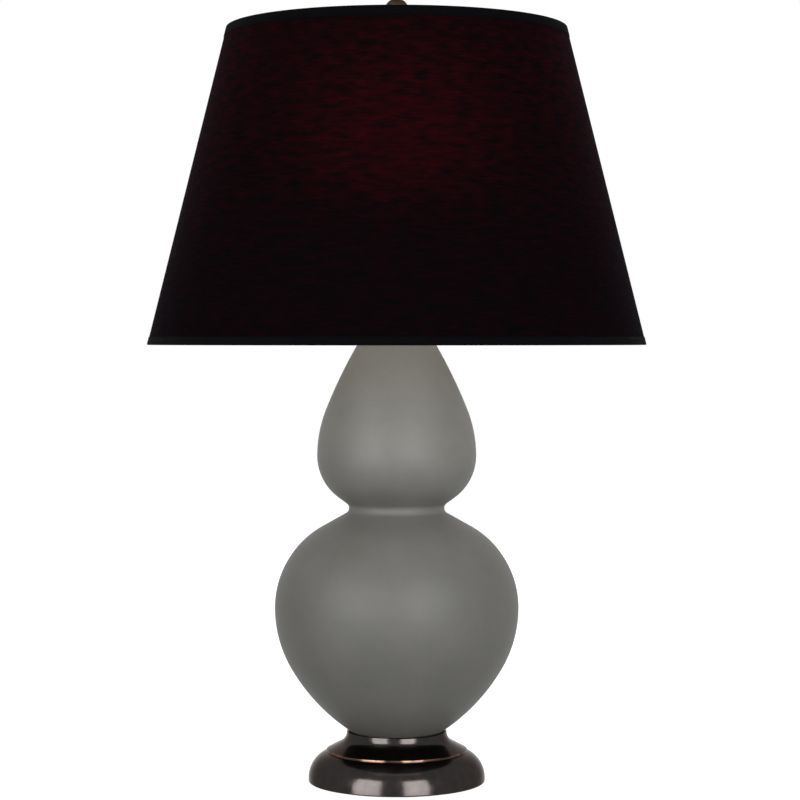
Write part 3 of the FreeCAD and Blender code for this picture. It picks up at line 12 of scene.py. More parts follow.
import bmesh
import bpy
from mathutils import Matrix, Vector


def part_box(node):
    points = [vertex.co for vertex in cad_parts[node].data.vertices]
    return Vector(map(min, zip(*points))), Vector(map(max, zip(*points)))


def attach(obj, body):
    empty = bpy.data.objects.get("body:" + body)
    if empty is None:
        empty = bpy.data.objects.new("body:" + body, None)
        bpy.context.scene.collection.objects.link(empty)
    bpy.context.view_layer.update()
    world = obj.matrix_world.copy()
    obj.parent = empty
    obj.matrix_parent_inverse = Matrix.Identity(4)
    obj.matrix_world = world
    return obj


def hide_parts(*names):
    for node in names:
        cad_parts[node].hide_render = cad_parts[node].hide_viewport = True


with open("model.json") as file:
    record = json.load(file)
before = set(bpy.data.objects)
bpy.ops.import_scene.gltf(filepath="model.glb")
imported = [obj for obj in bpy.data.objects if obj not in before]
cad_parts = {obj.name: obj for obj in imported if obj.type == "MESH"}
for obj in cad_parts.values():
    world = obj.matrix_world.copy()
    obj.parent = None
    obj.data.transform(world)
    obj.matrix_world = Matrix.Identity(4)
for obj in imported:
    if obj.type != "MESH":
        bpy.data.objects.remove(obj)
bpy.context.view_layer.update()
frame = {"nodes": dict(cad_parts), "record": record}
NODES = frame["nodes"]

# %% [markdown]
# ## Measures
# Sizes on a lamp are small, so they are written in millimetres and turned to metres in one place.
# A turned piece is known by its radius at a height, and that is read from the frame, so a piece
# made here fits the solid beside it even after the model changes.

# %% Millimetres, and the radius of a turned piece
MM = 0.001


def radius_at(name, height, reach=0.6 * MM):
    """Largest radius of a CAD piece among its points near a height."""
    points = [v.co for v in NODES[name].data.vertices if abs(v.co.z - height) < reach]
    return max(math.hypot(p.x, p.y) for p in points)


cover_low, cover_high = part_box("shade_cover")
BOTTOM, TOP = cover_low.z, cover_high.z
BOTTOM_RADIUS = radius_at("shade_cover", BOTTOM)
TOP_RADIUS = radius_at("shade_cover", TOP)
SLANT = math.hypot(BOTTOM_RADIUS - TOP_RADIUS, TOP - BOTTOM)
print("shade radii", round(TOP_RADIUS / MM, 1), "and", round(BOTTOM_RADIUS / MM, 1),
      "mm, slant", round(SLANT / MM, 1), "mm")

# %% [markdown]
# ## Colours and nodes
# A colour picker shows sRGB, but light adds up in linear values, so each hex colour is turned to
# linear by one function. One more function adds a shader node with its settings, its plain values
# and its links, which keeps every material readable as a list of nodes. Most nodes have one output
# that matters, their first, so a node given as a link stands for it.

# %% Colour and node helpers


def linear(hex_code):
    """An sRGB hex colour as linear RGBA."""
    channels = [int(hex_code[i:i + 2], 16) / 255 for i in (1, 3, 5)]
    curved = [c / 12.92 if c <= 0.04045 else ((c + 0.055) / 1.055) ** 2.4 for c in channels]
    return (*curved, 1.0)


def add(tree, kind, values=None, links=None, stops=(), **settings):
    """Adds one node: its own settings, plain values for its sockets, links into them, colour stops."""
    made = tree.nodes.new("ShaderNode" + kind)
    for name, value in settings.items():
        setattr(made, name, value)
    for name, value in (values or {}).items():
        made.inputs[name].default_value = value
    for name, source in (links or {}).items():
        socket = source.outputs[0] if isinstance(source, bpy.types.Node) else source
        tree.links.new(socket, made.inputs[name])
    for mark, (position, hex_code) in enumerate(stops):
        marks = made.color_ramp.elements
        if mark == len(marks):
            marks.new(position)
        marks[mark].position = position
        marks[mark].color = linear(hex_code)
    return made


def new_material(name):
    """An empty node material and its tree."""
    material = bpy.data.materials.new(name)
    material.use_nodes = True
    material.node_tree.nodes.clear()
    return material, material.node_tree


print("mid grey #808080 in linear light:", [round(c, 3) for c in linear("#808080")])

# %% [markdown]
# ## Coordinates round the lamp's axis
# Turned metal and glaze show marks that run round the piece, so their patterns need the angle, the
# radius and the height of a point instead of x, y and z. Object coordinates start on the lamp's
# axis, so two math nodes give the radius and the angle from them.

# %% Polar coordinates as nodes


def around_axis(tree):
    """A point, and its angle in radians, radius and height in metres."""
    place = add(tree, "TexCoord").outputs["Object"]
    parts = add(tree, "SeparateXYZ", links={"Vector": place}).outputs
    angle = add(tree, "Math", links={0: parts["Y"], 1: parts["X"]}, operation="ARCTAN2")
    flat = add(tree, "CombineXYZ", links={"X": parts["X"], "Y": parts["Y"]})
    radius = add(tree, "VectorMath", links={0: flat}, operation="LENGTH").outputs["Value"]
    return place, angle, radius, parts["Z"]


def window(tree, value, low, high, soft):
    """1 where a value lies between low and high, with soft edges, else 0."""
    rise = add(tree, "MapRange", {"From Min": low - soft, "From Max": low + soft},
               {"Value": value}, interpolation_type="SMOOTHSTEP")
    fall = add(tree, "MapRange", {"From Min": high - soft, "From Max": high + soft,
                                  "To Min": 1.0, "To Max": 0.0},
               {"Value": value}, interpolation_type="SMOOTHSTEP")
    return add(tree, "Math", links={0: rise, 1: fall}, operation="MULTIPLY")


# %% [markdown]
# ## Finishes of the small parts
# Most of the hidden hardware has a plain industrial finish: plating, lacquer, moulded plastic,
# paper. None of them is one flat colour. Each gets two close colours mixed by a noise whose grain
# is the real one, and the same noise roughens it and gives it a slight bump. A screw thread is a
# wave whose phase is the angle plus the height over the pitch, so it climbs as it goes round.

# %% A plain finish with grain
RIDGE = 0.15  # height of a drawn thread, as a share of its pitch


def plain_finish(name, light, dark, metallic, roughness, grain_mm, bump_mm=0.02, pitch_mm=None):
    """Two colours mixed by a grain of a real size. A pitch adds a screw thread round the axis."""
    material, tree = new_material(name)
    place = add(tree, "TexCoord").outputs["Object"]
    grain = add(tree, "TexNoise", {"Scale": 1 / (grain_mm * MM), "Detail": 4.0, "Roughness": 0.6},
                {"Vector": place})
    colour = add(tree, "ValToRGB", links={"Fac": grain}, stops=[(0.35, dark), (0.65, light)])
    rough = add(tree, "MapRange", {"To Min": roughness * 0.8, "To Max": min(roughness * 1.2, 1.0)},
                {"Value": grain})
    bump = add(tree, "Bump", {"Distance": bump_mm * MM, "Strength": 0.6}, {"Height": grain})
    if pitch_mm:
        _, angle, _, height = around_axis(tree)
        turns = add(tree, "Math", {1: 2 * math.pi / (pitch_mm * MM)}, {0: height, 2: angle},
                    operation="MULTIPLY_ADD")
        ridge = add(tree, "Math", links={0: turns}, operation="SINE")
        bump = add(tree, "Bump", {"Distance": RIDGE * pitch_mm * MM, "Strength": 0.7},
                   {"Height": ridge, "Normal": bump})
    shader = add(tree, "BsdfPrincipled", {"Metallic": metallic},
                 {"Base Color": colour, "Roughness": rough, "Normal": bump})
    add(tree, "OutputMaterial", links={"Surface": shader})
    return material

print("a plain finish is two colours, a grain and, on a screw, a thread")

# %% [markdown]
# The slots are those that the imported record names. After its two colours, each line gives how
# metallic the finish is, its roughness and its grain in millimetres.

# %% Plain finishes by slot
FINISHES = {
    # zinc plating: a pale blue-grey metal with a faint spangle
    "plated_steel": plain_finish("zinc_plated_steel", "#B9B8B0", "#8F8F8A", 1.0, 0.34, 1.2),
    # drawn brass, uncoated
    "brass": plain_finish("drawn_brass", "#B99B66", "#96794A", 1.0, 0.3, 0.9),
    # brass darkened with a chemical and lacquered
    "aged_brass": plain_finish("aged_brass", "#4A3524", "#2A1E16", 1.0, 0.36, 2.5),
    # steel wire in bronze lacquer
    "harp_wire": plain_finish("bronze_lacquered_wire", "#4E3C2A", "#30251B", 0.8, 0.4, 3.0),
    # white stove enamel on the shade's rim wires
    "painted_wire": plain_finish("white_enamel", "#D6D1C6", "#C1BBAF", 0.0, 0.38, 2.0),
    # rough sand casting under black paint
    "iron": plain_finish("painted_cast_iron", "#2A2A2C", "#151517", 0.3, 0.7, 1.5, 0.25),
    "rubber": plain_finish("moulded_rubber", "#2E2926", "#231F1C", 0.0, 0.75, 0.8),
    "black_plastic": plain_finish("moulded_abs", "#1A1A1B", "#0F0F10", 0.0, 0.42, 0.5),
    "phenolic": plain_finish("pressed_phenolic", "#1E1A17", "#100D0B", 0.0, 0.35, 1.0),
    "fibre_card": plain_finish("insulating_card", "#8C7756", "#6E5B40", 0.0, 0.85, 1.6, 0.05),
    "bulb_metal": plain_finish("drawn_aluminium", "#D2D2CE", "#B2B2AE", 1.0, 0.28, 0.7),
    "black_glass": plain_finish("black_glass", "#0C0C10", "#050507", 0.0, 0.12, 1.0),
    "tungsten": plain_finish("drawn_tungsten", "#6E6E72", "#4A4A4E", 1.0, 0.4, 0.3),
}
print("plain finishes:", len(FINISHES))

# %% [markdown]
# ## Wool felt
# The disc under the foot is pressed wool: no weave, only short fibres in every direction. Sheen
# gives felt the pale bloom that fibre ends catch at a flat angle, and noise in two sizes gives the
# clumps and the single fibres.

# %% Felt
FIBRE = 0.8  # mm across a tuft of fibres; single fibres are far finer
CLUMP = 12.0  # mm


def felt_finish():
    material, tree = new_material("pressed_wool_felt")
    place = add(tree, "TexCoord").outputs["Object"]
    fibre = add(tree, "TexNoise", {"Scale": 1 / (FIBRE * MM), "Detail": 6.0, "Distortion": 1.5},
                {"Vector": place})
    clump = add(tree, "TexNoise", {"Scale": 1 / (CLUMP * MM), "Detail": 2.0}, {"Vector": place})
    both = add(tree, "Math", links={0: fibre, 1: clump}, operation="MULTIPLY")
    colour = add(tree, "ValToRGB", links={"Fac": both}, stops=[(0.1, "#0B0B0C"), (0.45, "#26262A")])
    bump = add(tree, "Bump", {"Distance": 0.3 * MM, "Strength": 0.8}, {"Height": fibre})
    shader = add(tree, "BsdfPrincipled",
                 {"Roughness": 0.95, "Sheen Weight": 0.6, "Sheen Roughness": 0.5},
                 {"Base Color": colour, "Normal": bump})
    add(tree, "OutputMaterial", links={"Surface": shader})
    return material


FINISHES["felt"] = felt_finish()
print("felt: tufts", FIBRE, "mm and clumps", CLUMP, "mm across")

# %% [markdown]
# ## Satin glaze
# The gourd is stoneware under a satin grey glaze. Such a glaze pools and breaks a little: broad,
# soft clouds of a slightly warmer and cooler grey, and small pinholes. Its grey is painted lighter
# on the upper belly and darker below the waist: painted light and shade, where light falls more on
# the upper belly. The surface is dielectric, with an IOR near 1.5, and its gloss is wide because
# the glaze crystallises as it cools. Faint rings stay from the wheel.

# %% Glaze
WAIST_BAND = (0.22, 0.32)  # m, heights between which the waist is looked for
gourd_points = [v.co for v in NODES["gourd"].data.vertices
                if WAIST_BAND[0] < v.co.z < WAIST_BAND[1]]
WAIST = min((round(math.hypot(p.x, p.y), 4), p.z) for p in gourd_points)[1]
CLOUD = 55.0  # mm across a cloud of the glaze
PINHOLE = 1.3  # mm, drawn about twice as coarse as real ones, so that they show
RING_SPACING = 11.0  # mm between the faint rings that the potter's hands leave


def glaze_finish():
    material, tree = new_material("satin_stoneware_glaze")
    place, _, _, height = around_axis(tree)
    cloud = add(tree, "TexNoise", {"Scale": 1 / (CLOUD * MM), "Detail": 5.0, "Roughness": 0.55},
                {"Vector": place})
    grey = add(tree, "ValToRGB", links={"Fac": cloud},
               stops=[(0.3, "#84847F"), (0.52, "#8A8985"), (0.75, "#908F8A")])
    # painted light and shade: the grey is lighter up the upper belly and darker below the waist
    painted_light_by_height = add(tree, "MapRange", {"From Min": WAIST - 0.06, "From Max": WAIST + 0.16,
                                  "To Min": 0.8, "To Max": 1.32},
               {"Value": height}, interpolation_type="SMOOTHSTEP")
    speck = add(tree, "TexNoise", {"Scale": 1 / (PINHOLE * MM), "Detail": 3.0}, {"Vector": place})
    dark = add(tree, "ValToRGB", links={"Fac": speck}, stops=[(0.3, "#4C4B48"), (0.6, "#FFFFFF")])
    speckled = add(tree, "Mix", {"Factor": 0.07}, {6: grey, 7: dark},
                   data_type="RGBA", blend_type="MULTIPLY").outputs[2]
    shaded = add(tree, "VectorMath", links={0: speckled, "Scale": painted_light_by_height}, operation="SCALE")
    rings = add(tree, "Math", {1: 2 * math.pi / (RING_SPACING * MM)}, {0: height},
                operation="MULTIPLY")
    wobble = add(tree, "Math", {1: 2.2}, {0: cloud}, operation="MULTIPLY")
    phase = add(tree, "Math", links={0: rings, 1: wobble}, operation="ADD")
    wave = add(tree, "Math", links={0: phase}, operation="SINE")
    thrown = add(tree, "Bump", {"Distance": 0.03 * MM, "Strength": 0.3}, {"Height": wave})
    pitted = add(tree, "Bump", {"Distance": 0.03 * MM, "Strength": 0.35},
                 {"Height": speck, "Normal": thrown})
    rough = add(tree, "MapRange", {"To Min": 0.48, "To Max": 0.62}, {"Value": cloud})
    shader = add(tree, "BsdfPrincipled", {"IOR": 1.5, "Specular IOR Level": 0.18},
                 {"Base Color": shaded, "Roughness": rough, "Normal": pitted})
    add(tree, "OutputMaterial", links={"Surface": shader})
    return material


FINISHES["glaze"] = glaze_finish()
print("the gourd's waist is", round(WAIST / MM, 1), "mm up")

# %% [markdown]
# ## Oil-rubbed bronze
# The foot and its collar are spun metal, darkened almost to black and rubbed back by hand. A spun
# piece carries fine rings from the tool, so the bump depends on radius and height but not on the
# angle. Copper shows where a cloth rubs, in patches along the top of the collar's rim. A metal
# keeps its default IOR; its base colour is its reflection.

# %% Bronze
_, collar_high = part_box("base_collar")
RIM_RADIUS = collar_high.x
RIM_TOP = max(v.co.z for v in NODES["base_collar"].data.vertices
              if math.hypot(v.co.x, v.co.y) > RIM_RADIUS - 0.3 * MM)
SPUN_GROOVE = 0.9  # mm between tool rings, drawn about twice as coarse as real ones, so they show
PATINA = 9.0  # mm across a cloud of the patina
EDGE_TINT = "#C8C4C2"  # lacquered bronze is duller than bare metal where it is seen edge on


def bronze_finish():
    material, tree = new_material("oil_rubbed_bronze")
    place, _, radius, height = around_axis(tree)
    profile = add(tree, "CombineXYZ", links={"X": radius, "Y": height})
    rings = add(tree, "TexNoise", {"Scale": 1 / (SPUN_GROOVE * MM), "Detail": 2.0},
                {"Vector": profile})
    patina = add(tree, "TexNoise", {"Scale": 1 / (PATINA * MM), "Detail": 8.0, "Roughness": 0.65},
                 {"Vector": place})
    dark = add(tree, "ValToRGB", links={"Fac": patina},
               stops=[(0.3, "#2A2828"), (0.55, "#302D2C"), (0.8, "#3B312F")])
    at_top = window(tree, height, RIM_TOP - 0.9 * MM, RIM_TOP + 0.5 * MM, 0.6 * MM)
    at_rim = window(tree, radius, RIM_RADIUS - 5.0 * MM, RIM_RADIUS + 2 * MM, 1.5 * MM)
    worn = add(tree, "Math", links={0: at_top, 1: at_rim}, operation="MULTIPLY")
    patchy = add(tree, "MapRange", {"From Min": 0.38, "From Max": 0.6,
                                    "To Min": 0.25, "To Max": 0.8}, {"Value": patina})
    amount = add(tree, "Math", links={0: worn, 1: patchy}, operation="MULTIPLY")
    copper = add(tree, "ValToRGB", links={"Fac": patina}, stops=[(0.35, "#5C3A2A"), (0.65, "#8A5A40")])
    colour = add(tree, "Mix", links={"Factor": amount, 6: dark, 7: copper}, data_type="RGBA")
    bump = add(tree, "Bump", {"Distance": 0.02 * MM, "Strength": 0.5}, {"Height": rings})
    rough = add(tree, "MapRange", {"To Min": 0.1, "To Max": 0.24}, {"Value": patina})
    shader = add(tree, "BsdfPrincipled", {"Metallic": 1.0, "Specular Tint": linear(EDGE_TINT)},
                 {"Base Color": colour.outputs[2], "Roughness": rough, "Normal": bump})
    add(tree, "OutputMaterial", links={"Surface": shader})
    return material


FINISHES["aged_bronze"] = bronze_finish()
print("copper shows at the rim, height", round(RIM_TOP / MM, 2), "radius", round(RIM_RADIUS / MM, 2))

# %% [markdown]
# ## The finial's knurling
# The finial's ball is cut with a diamond knurl, so that fingers can turn it. Two sets of helical
# cuts cross: one wave follows the angle plus the height, the other the angle less the height, and
# their product gives the raised diamonds. A whole number of cuts goes round, so no seam shows.

# %% Knurled bronze
CUTS_ROUND = 34
KNURL_REACH = 0.82  # how far up the ball's upper half the cuts go
finial_low, finial_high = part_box("finial")
BALL_RADIUS = finial_high.x
BALL_MIDDLE = max((v.co.x, v.co.z) for v in NODES["finial"].data.vertices)[1]


def knurled_finish():
    material, tree = new_material("knurled_bronze")
    place, angle, _, height = around_axis(tree)
    turned = add(tree, "Math", {1: CUTS_ROUND}, {0: angle}, operation="MULTIPLY")
    climbed = add(tree, "Math", {1: CUTS_ROUND / BALL_RADIUS}, {0: height}, operation="MULTIPLY")
    waves = []
    for crossing in ("ADD", "SUBTRACT"):
        phase = add(tree, "Math", links={0: turned, 1: climbed}, operation=crossing)
        waves.append(add(tree, "Math", links={0: phase}, operation="SINE"))
    diamonds = add(tree, "Math", links={0: waves[0], 1: waves[1]}, operation="MULTIPLY")
    on_ball = window(tree, height, finial_low.z, BALL_MIDDLE + KNURL_REACH * BALL_RADIUS, 0.3 * MM)
    cut = add(tree, "Math", links={0: diamonds, 1: on_ball}, operation="MULTIPLY")
    lifted = add(tree, "Math", {1: 0.5, 2: 0.5}, {0: cut}, operation="MULTIPLY_ADD")
    colour = add(tree, "ValToRGB", links={"Fac": lifted},
                 stops=[(0.2, "#17120E"), (0.5, "#2A221B"), (0.9, "#4C4034")])
    grain = add(tree, "TexNoise", {"Scale": 1 / (2 * MM), "Detail": 4.0}, {"Vector": place})
    rough = add(tree, "MapRange", {"To Min": 0.28, "To Max": 0.45}, {"Value": grain})
    bump = add(tree, "Bump", {"Distance": 0.35 * MM, "Strength": 0.8}, {"Height": cut})
    shader = add(tree, "BsdfPrincipled", {"Metallic": 1.0, "Specular Tint": linear(EDGE_TINT)},
                 {"Base Color": colour, "Roughness": rough, "Normal": bump})
    add(tree, "OutputMaterial", links={"Surface": shader})
    return material

print("knurl: diamonds", round(2 * math.pi * BALL_RADIUS / MM / CUTS_ROUND, 2), "mm apart")

# %% [markdown]
# Five pieces have more to show than their slot says: the finial has its knurl, and the bulb, its
# socket, the rod and the stud have screw threads.

# %% Finishes of single pieces
PIECE_FINISHES = {
    "finial": knurled_finish(),
    # seven threads to the inch on the bulb and in its socket
    "bulb_base": plain_finish("rolled_bulb_cap", "#D2D2CE", "#B2B2AE", 1.0, 0.28, 0.7,
                              pitch_mm=3.63),
    "screw_shell": plain_finish("rolled_socket_shell", "#C4BCA4", "#A39A82", 1.0, 0.3, 0.9,
                                pitch_mm=3.63),
    # twenty-seven threads to the inch on the rod and the stud
    "center_rod": plain_finish("threaded_rod", "#B9B8B0", "#8F8F8A", 1.0, 0.34, 1.2,
                               pitch_mm=0.94),
    "harp_stud": plain_finish("threaded_stud", "#B99B66", "#96794A", 1.0, 0.3, 0.9,
                              pitch_mm=0.94),
}
print("finishes of single pieces:", len(PIECE_FINISHES))

# %% [markdown]
# ## Lining, glass and the lit bulb
# The shade is lined with a white styrene sheet. Light from the bulb has to get through it to the
# cloth, and a renderer finds that light by sending shadow rays, so the lining lets part of each
# shadow ray pass and looks solid to the eye. Glass lets all of them pass. The frosted globe is
# milky, with only a little clear glass in it, and glows faintly.

# %% Lining and glass
LINING_PASSES = 0.9  # share of light that each face of the lining lets through
LINING_GRAIN = 25.0  # mm
SEED = 6.0  # mm, the unevenness of blown glass


def lining_finish():
    material, tree = new_material("styrene_lining")
    place = add(tree, "TexCoord").outputs["Object"]
    grain = add(tree, "TexNoise", {"Scale": 1 / (LINING_GRAIN * MM), "Detail": 3.0}, {"Vector": place})
    colour = add(tree, "ValToRGB", links={"Fac": grain}, stops=[(0.3, "#D6D4CF"), (0.7, "#E2E0DB")])
    bump = add(tree, "Bump", {"Distance": 0.05 * MM, "Strength": 0.3}, {"Height": grain})
    sheet = add(tree, "BsdfPrincipled", {"Roughness": 0.55, "IOR": 1.59},
                {"Base Color": colour, "Normal": bump})
    clear = add(tree, "BsdfTransparent")
    shadow_ray = add(tree, "LightPath").outputs["Is Shadow Ray"]
    share = add(tree, "Math", {1: LINING_PASSES}, {0: shadow_ray}, operation="MULTIPLY")
    mixed = add(tree, "MixShader", links={0: share, 1: sheet, 2: clear})
    add(tree, "OutputMaterial", links={"Surface": mixed})
    return material


def glass_finish(name, colour, roughness, clear_share, glow):
    """Blown glass: how rough it is, how much of it is clear, and how strongly it glows."""
    material, tree = new_material(name)
    place = add(tree, "TexCoord").outputs["Object"]
    seed = add(tree, "TexNoise", {"Scale": 1 / (SEED * MM), "Detail": 2.0}, {"Vector": place})
    rough = add(tree, "MapRange", {"To Min": roughness * 0.85, "To Max": roughness * 1.1},
                {"Value": seed})
    glass = add(tree, "BsdfPrincipled",
                {"Base Color": linear(colour), "Transmission Weight": clear_share, "IOR": 1.46,
                 "Emission Color": linear("#FFEBD0"), "Emission Strength": glow},
                {"Roughness": rough})
    clear = add(tree, "BsdfTransparent")
    shadow_ray = add(tree, "LightPath").outputs["Is Shadow Ray"]
    mixed = add(tree, "MixShader", links={0: shadow_ray, 1: glass, 2: clear})
    add(tree, "OutputMaterial", links={"Surface": mixed})
    return material


FINISHES["liner_sheet"] = lining_finish()
FINISHES["frosted_glass"] = glass_finish("frosted_glass", "#C4BFB4", 0.5, 0.12, 0.2)
FINISHES["clear_glass"] = glass_finish("clear_glass", "#EEF2F0", 0.05, 0.9, 0.0)
print("two faces of the lining pass", round(LINING_PASSES ** 2, 2), "of the bulb's light")

# %% [markdown]
# ## Black slubbed cloth with a red heart
# The cover is a black woven cloth with slubs: thick places in the weft that run round the shade.
# With the bulb on, a little light comes through it, deep red, and part of that goes nearly straight
# on, so the middle of the shade glows and its sides stay black. A diffuse black alone can't do
# that. A rough refraction can, because it scatters light about the direction it came from. The
# slubs are denser, so they dim the glow in fine streaks, and wider patches stand more open than
# others. Threads are 0.5 mm apart on the real cloth, and drawn at 1 mm so that they show.

# %% The cloth's measures and patterns
THREAD = 1.0  # mm
SLUB_LENGTH = 18.0  # mm
SLUB_HEIGHT = 1.3  # mm
PATCH_LENGTH = 20.0  # mm, places where the weave stands more open
PATCH_HEIGHT = 6.0  # mm
GLOW_SHARE = 0.054  # share of light that goes through the cloth
STRAIGHT_SHARE = 0.38  # how much of that goes nearly straight on between the threads
THROUGH_COLOUR = "#A01022"


def ripple(tree, value, spacing_mm):
    """A wave along a coordinate in metres."""
    turn = add(tree, "Math", {1: 2 * math.pi / (spacing_mm * MM)}, {0: value}, operation="MULTIPLY")
    return add(tree, "Math", links={0: turn}, operation="SINE")


def streaked(tree, cloth, length_mm, height_mm, **values):
    """Noise that is stretched along the cloth."""
    scale = (1 / (length_mm * MM), 1 / (height_mm * MM), 1.0)
    stretched = add(tree, "Mapping", {"Scale": scale}, {"Vector": cloth})
    return add(tree, "TexNoise", {"Scale": 1.0, **values}, {"Vector": stretched})

print("slubs", SLUB_LENGTH, "by", SLUB_HEIGHT, "mm, patches", PATCH_LENGTH, "by", PATCH_HEIGHT, "mm")

# %% [markdown]
# The cloth's material has two halves: the black face, which answers to light from outside, and the
# light that comes through. The streaks say how much of each shows at a point.

# %% Cloth


def cloth_finish():
    material, tree = new_material("black_slub_cloth")
    cloth = add(tree, "UVMap", uv_map="cloth").outputs["UV"]
    parts = add(tree, "SeparateXYZ", links={"Vector": cloth}).outputs
    warp, weft = ripple(tree, parts["X"], THREAD), ripple(tree, parts["Y"], THREAD)
    weave = add(tree, "Math", links={0: warp, 1: weft}, operation="MULTIPLY")
    slub = streaked(tree, cloth, SLUB_LENGTH, SLUB_HEIGHT, Detail=4.0, Roughness=0.62)
    colour = add(tree, "ValToRGB", links={"Fac": slub}, stops=[(0.3, "#040305"), (0.7, "#070508")])
    high = add(tree, "Math", {1: 0.25}, {0: weave, 2: slub}, operation="MULTIPLY_ADD")
    bump = add(tree, "Bump", {"Distance": 0.25 * MM, "Strength": 0.55}, {"Height": high})
    black = add(tree, "BsdfPrincipled",
                {"Roughness": 0.9, "Specular IOR Level": 0.01, "Sheen Weight": 0.008,
                 "Sheen Roughness": 0.4, "Sheen Tint": linear("#8E9AC8")},
                {"Base Color": colour, "Normal": bump})
    patches = streaked(tree, cloth, PATCH_LENGTH, PATCH_HEIGHT, Detail=3.0)
    # the product of two noises lies mostly between 0.14 and 0.38
    open_weave = add(tree, "Math", links={0: slub, 1: patches}, operation="MULTIPLY")
    streaks = add(tree, "MapRange", {"From Min": 0.14, "From Max": 0.38,
                                     "To Min": GLOW_SHARE * 0.1, "To Max": GLOW_SHARE * 2.1},
                  {"Value": open_weave})
    straight = add(tree, "BsdfRefraction",
                   {"Color": linear(THROUGH_COLOUR), "Roughness": 1.0, "IOR": 1.45})
    scattered = add(tree, "BsdfTranslucent", {"Color": linear(THROUGH_COLOUR)})
    through = add(tree, "MixShader", {0: STRAIGHT_SHARE}, {1: scattered, 2: straight})
    mixed = add(tree, "MixShader", links={0: streaks, 1: black, 2: through})
    add(tree, "OutputMaterial", links={"Surface": mixed})
    return material


FINISHES["shade_fabric"] = cloth_finish()
print("the cloth passes", GLOW_SHARE, "of the light,", STRAIGHT_SHARE, "of it nearly straight on")

# %% [markdown]
# ## Folded tape
# The rims are bound with a black tape, ribbed across its length and glued down. The ribs run over
# the edge, so their pattern follows the tape's own length.

# %% Tape
RIB = 1.3  # mm between the tape's ribs
FUZZ = 2.5  # mm


def tape_finish():
    material, tree = new_material("ribbed_black_tape")
    tape = add(tree, "UVMap", uv_map="cloth").outputs["UV"]
    parts = add(tree, "SeparateXYZ", links={"Vector": tape}).outputs
    rib = ripple(tree, parts["X"], RIB)
    fuzz = add(tree, "TexNoise", {"Scale": 1 / (FUZZ * MM), "Detail": 4.0}, {"Vector": tape})
    colour = add(tree, "ValToRGB", links={"Fac": fuzz}, stops=[(0.3, "#030204"), (0.7, "#060508")])
    bump = add(tree, "Bump", {"Distance": 0.2 * MM, "Strength": 0.6}, {"Height": rib})
    shader = add(tree, "BsdfPrincipled",
                 {"Roughness": 0.85, "Specular IOR Level": 0.02, "Sheen Weight": 0.004,
                  "Sheen Roughness": 0.4},
                 {"Base Color": colour, "Normal": bump})
    add(tree, "OutputMaterial", links={"Surface": shader})
    return material


FINISHES["hem_tape"] = tape_finish()
print("finishes by slot:", len(FINISHES), "and by piece:", len(PIECE_FINISHES))

# %% [markdown]
# ## Dressing the CAD pieces
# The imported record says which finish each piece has. The materials go on by that list, so no piece
# is forgotten, and none is painted twice.

# %% Finishes onto pieces
for part in frame["record"]["subparts"]:
    piece = NODES[part["node"]]
    piece.data.materials.clear()
    piece.data.materials.append(PIECE_FINISHES.get(part["node"], FINISHES[part["material_slot"]]))
slots = {part["material_slot"] for part in frame["record"]["subparts"]}
print("dressed", len(NODES), "pieces in", len(slots), "finishes")

# %% [markdown]
# ## New objects
# Every piece made here stays at the origin, with its shape in its own mesh, as the CAD pieces do.
# bmesh may number merged points differently in each run, so they are put in order by their place.

# %% Object helpers


def new_object(name, data):
    """An object in the scene, at the origin."""
    made = bpy.data.objects.new(name, data)
    bpy.context.collection.objects.link(made)
    return made


def middle_of(element):
    """Where a point, an edge or a face lies, to a tenth of a micrometre."""
    points = [element] if isinstance(element, bmesh.types.BMVert) else element.verts
    return tuple(round(sum(v.co[axis] for v in points) / len(points), 7) for axis in range(3))


def mesh_object(name, mesh):
    """An object whose shape is a finished bmesh, numbered the same way in every run."""
    for elements in (mesh.verts, mesh.edges, mesh.faces):
        for number, element in enumerate(sorted(elements, key=middle_of)):
            element.index = number
        elements.sort()
    data = bpy.data.meshes.new(name)
    mesh.to_mesh(data)
    mesh.free()
    return new_object(name, data)


# %% [markdown]
# ## Turning cloth and tape
# The cover, the tapes and the felt are all round, so each starts as a line of points and is spun
# about the lamp's axis. bmesh's spin joins its last step to the first with use_merge. The pieces
# get their own coordinates in metres, along the round and along the outline, so the weave follows
# the cloth.

# %% Spinning an outline
STEPS_ROUND = 288  # as many as keep a 0.5 m rim free of corners


def spun(name, outline, steps=STEPS_ROUND):
    """A mesh object from (radius, height) points in metres, spun about Z, with cloth coordinates."""
    mesh = bmesh.new()
    points = [mesh.verts.new((radius, 0, height)) for radius, height in outline]
    lines = [mesh.edges.new(pair) for pair in zip(points, points[1:])]
    bmesh.ops.spin(mesh, geom=points + lines, axis=(0, 0, 1), cent=(0, 0, 0),
                   angle=2 * math.pi, steps=steps, use_merge=True)
    bmesh.ops.remove_doubles(mesh, verts=mesh.verts, dist=0.01 * MM)
    bmesh.ops.recalc_face_normals(mesh, faces=mesh.faces)
    mean = sum(radius for radius, _ in outline) / len(outline)
    lengths = [0.0]
    for a, b in zip(outline, outline[1:]):
        lengths.append(lengths[-1] + math.dist(a, b))
    along = {(round(r, 6), round(h, 6)): length for (r, h), length in zip(outline, lengths)}
    cloth = mesh.loops.layers.uv.new("cloth")
    for face in mesh.faces:
        face.smooth = True
        middle = face.calc_center_median()
        start = math.atan2(middle.y, middle.x)
        for corner in face.loops:
            place = corner.vert.co
            radius = math.hypot(place.x, place.y)
            turn = math.remainder(math.atan2(place.y, place.x) - start, 2 * math.pi)
            nearest = min(along, key=lambda point: abs(point[0] - radius) + abs(point[1] - place.z))
            corner[cloth].uv = ((start + turn) * mean, along[nearest])
    made = mesh_object(name, mesh)
    print(name, "has", len(made.data.polygons), "faces")
    return made


# %% [markdown]
# ## The cover
# The cloth is glued to the lining, so it is stretched, smooth and one sheet. Its rows are many, so
# that the weave's coordinates stay even from rim to rim.

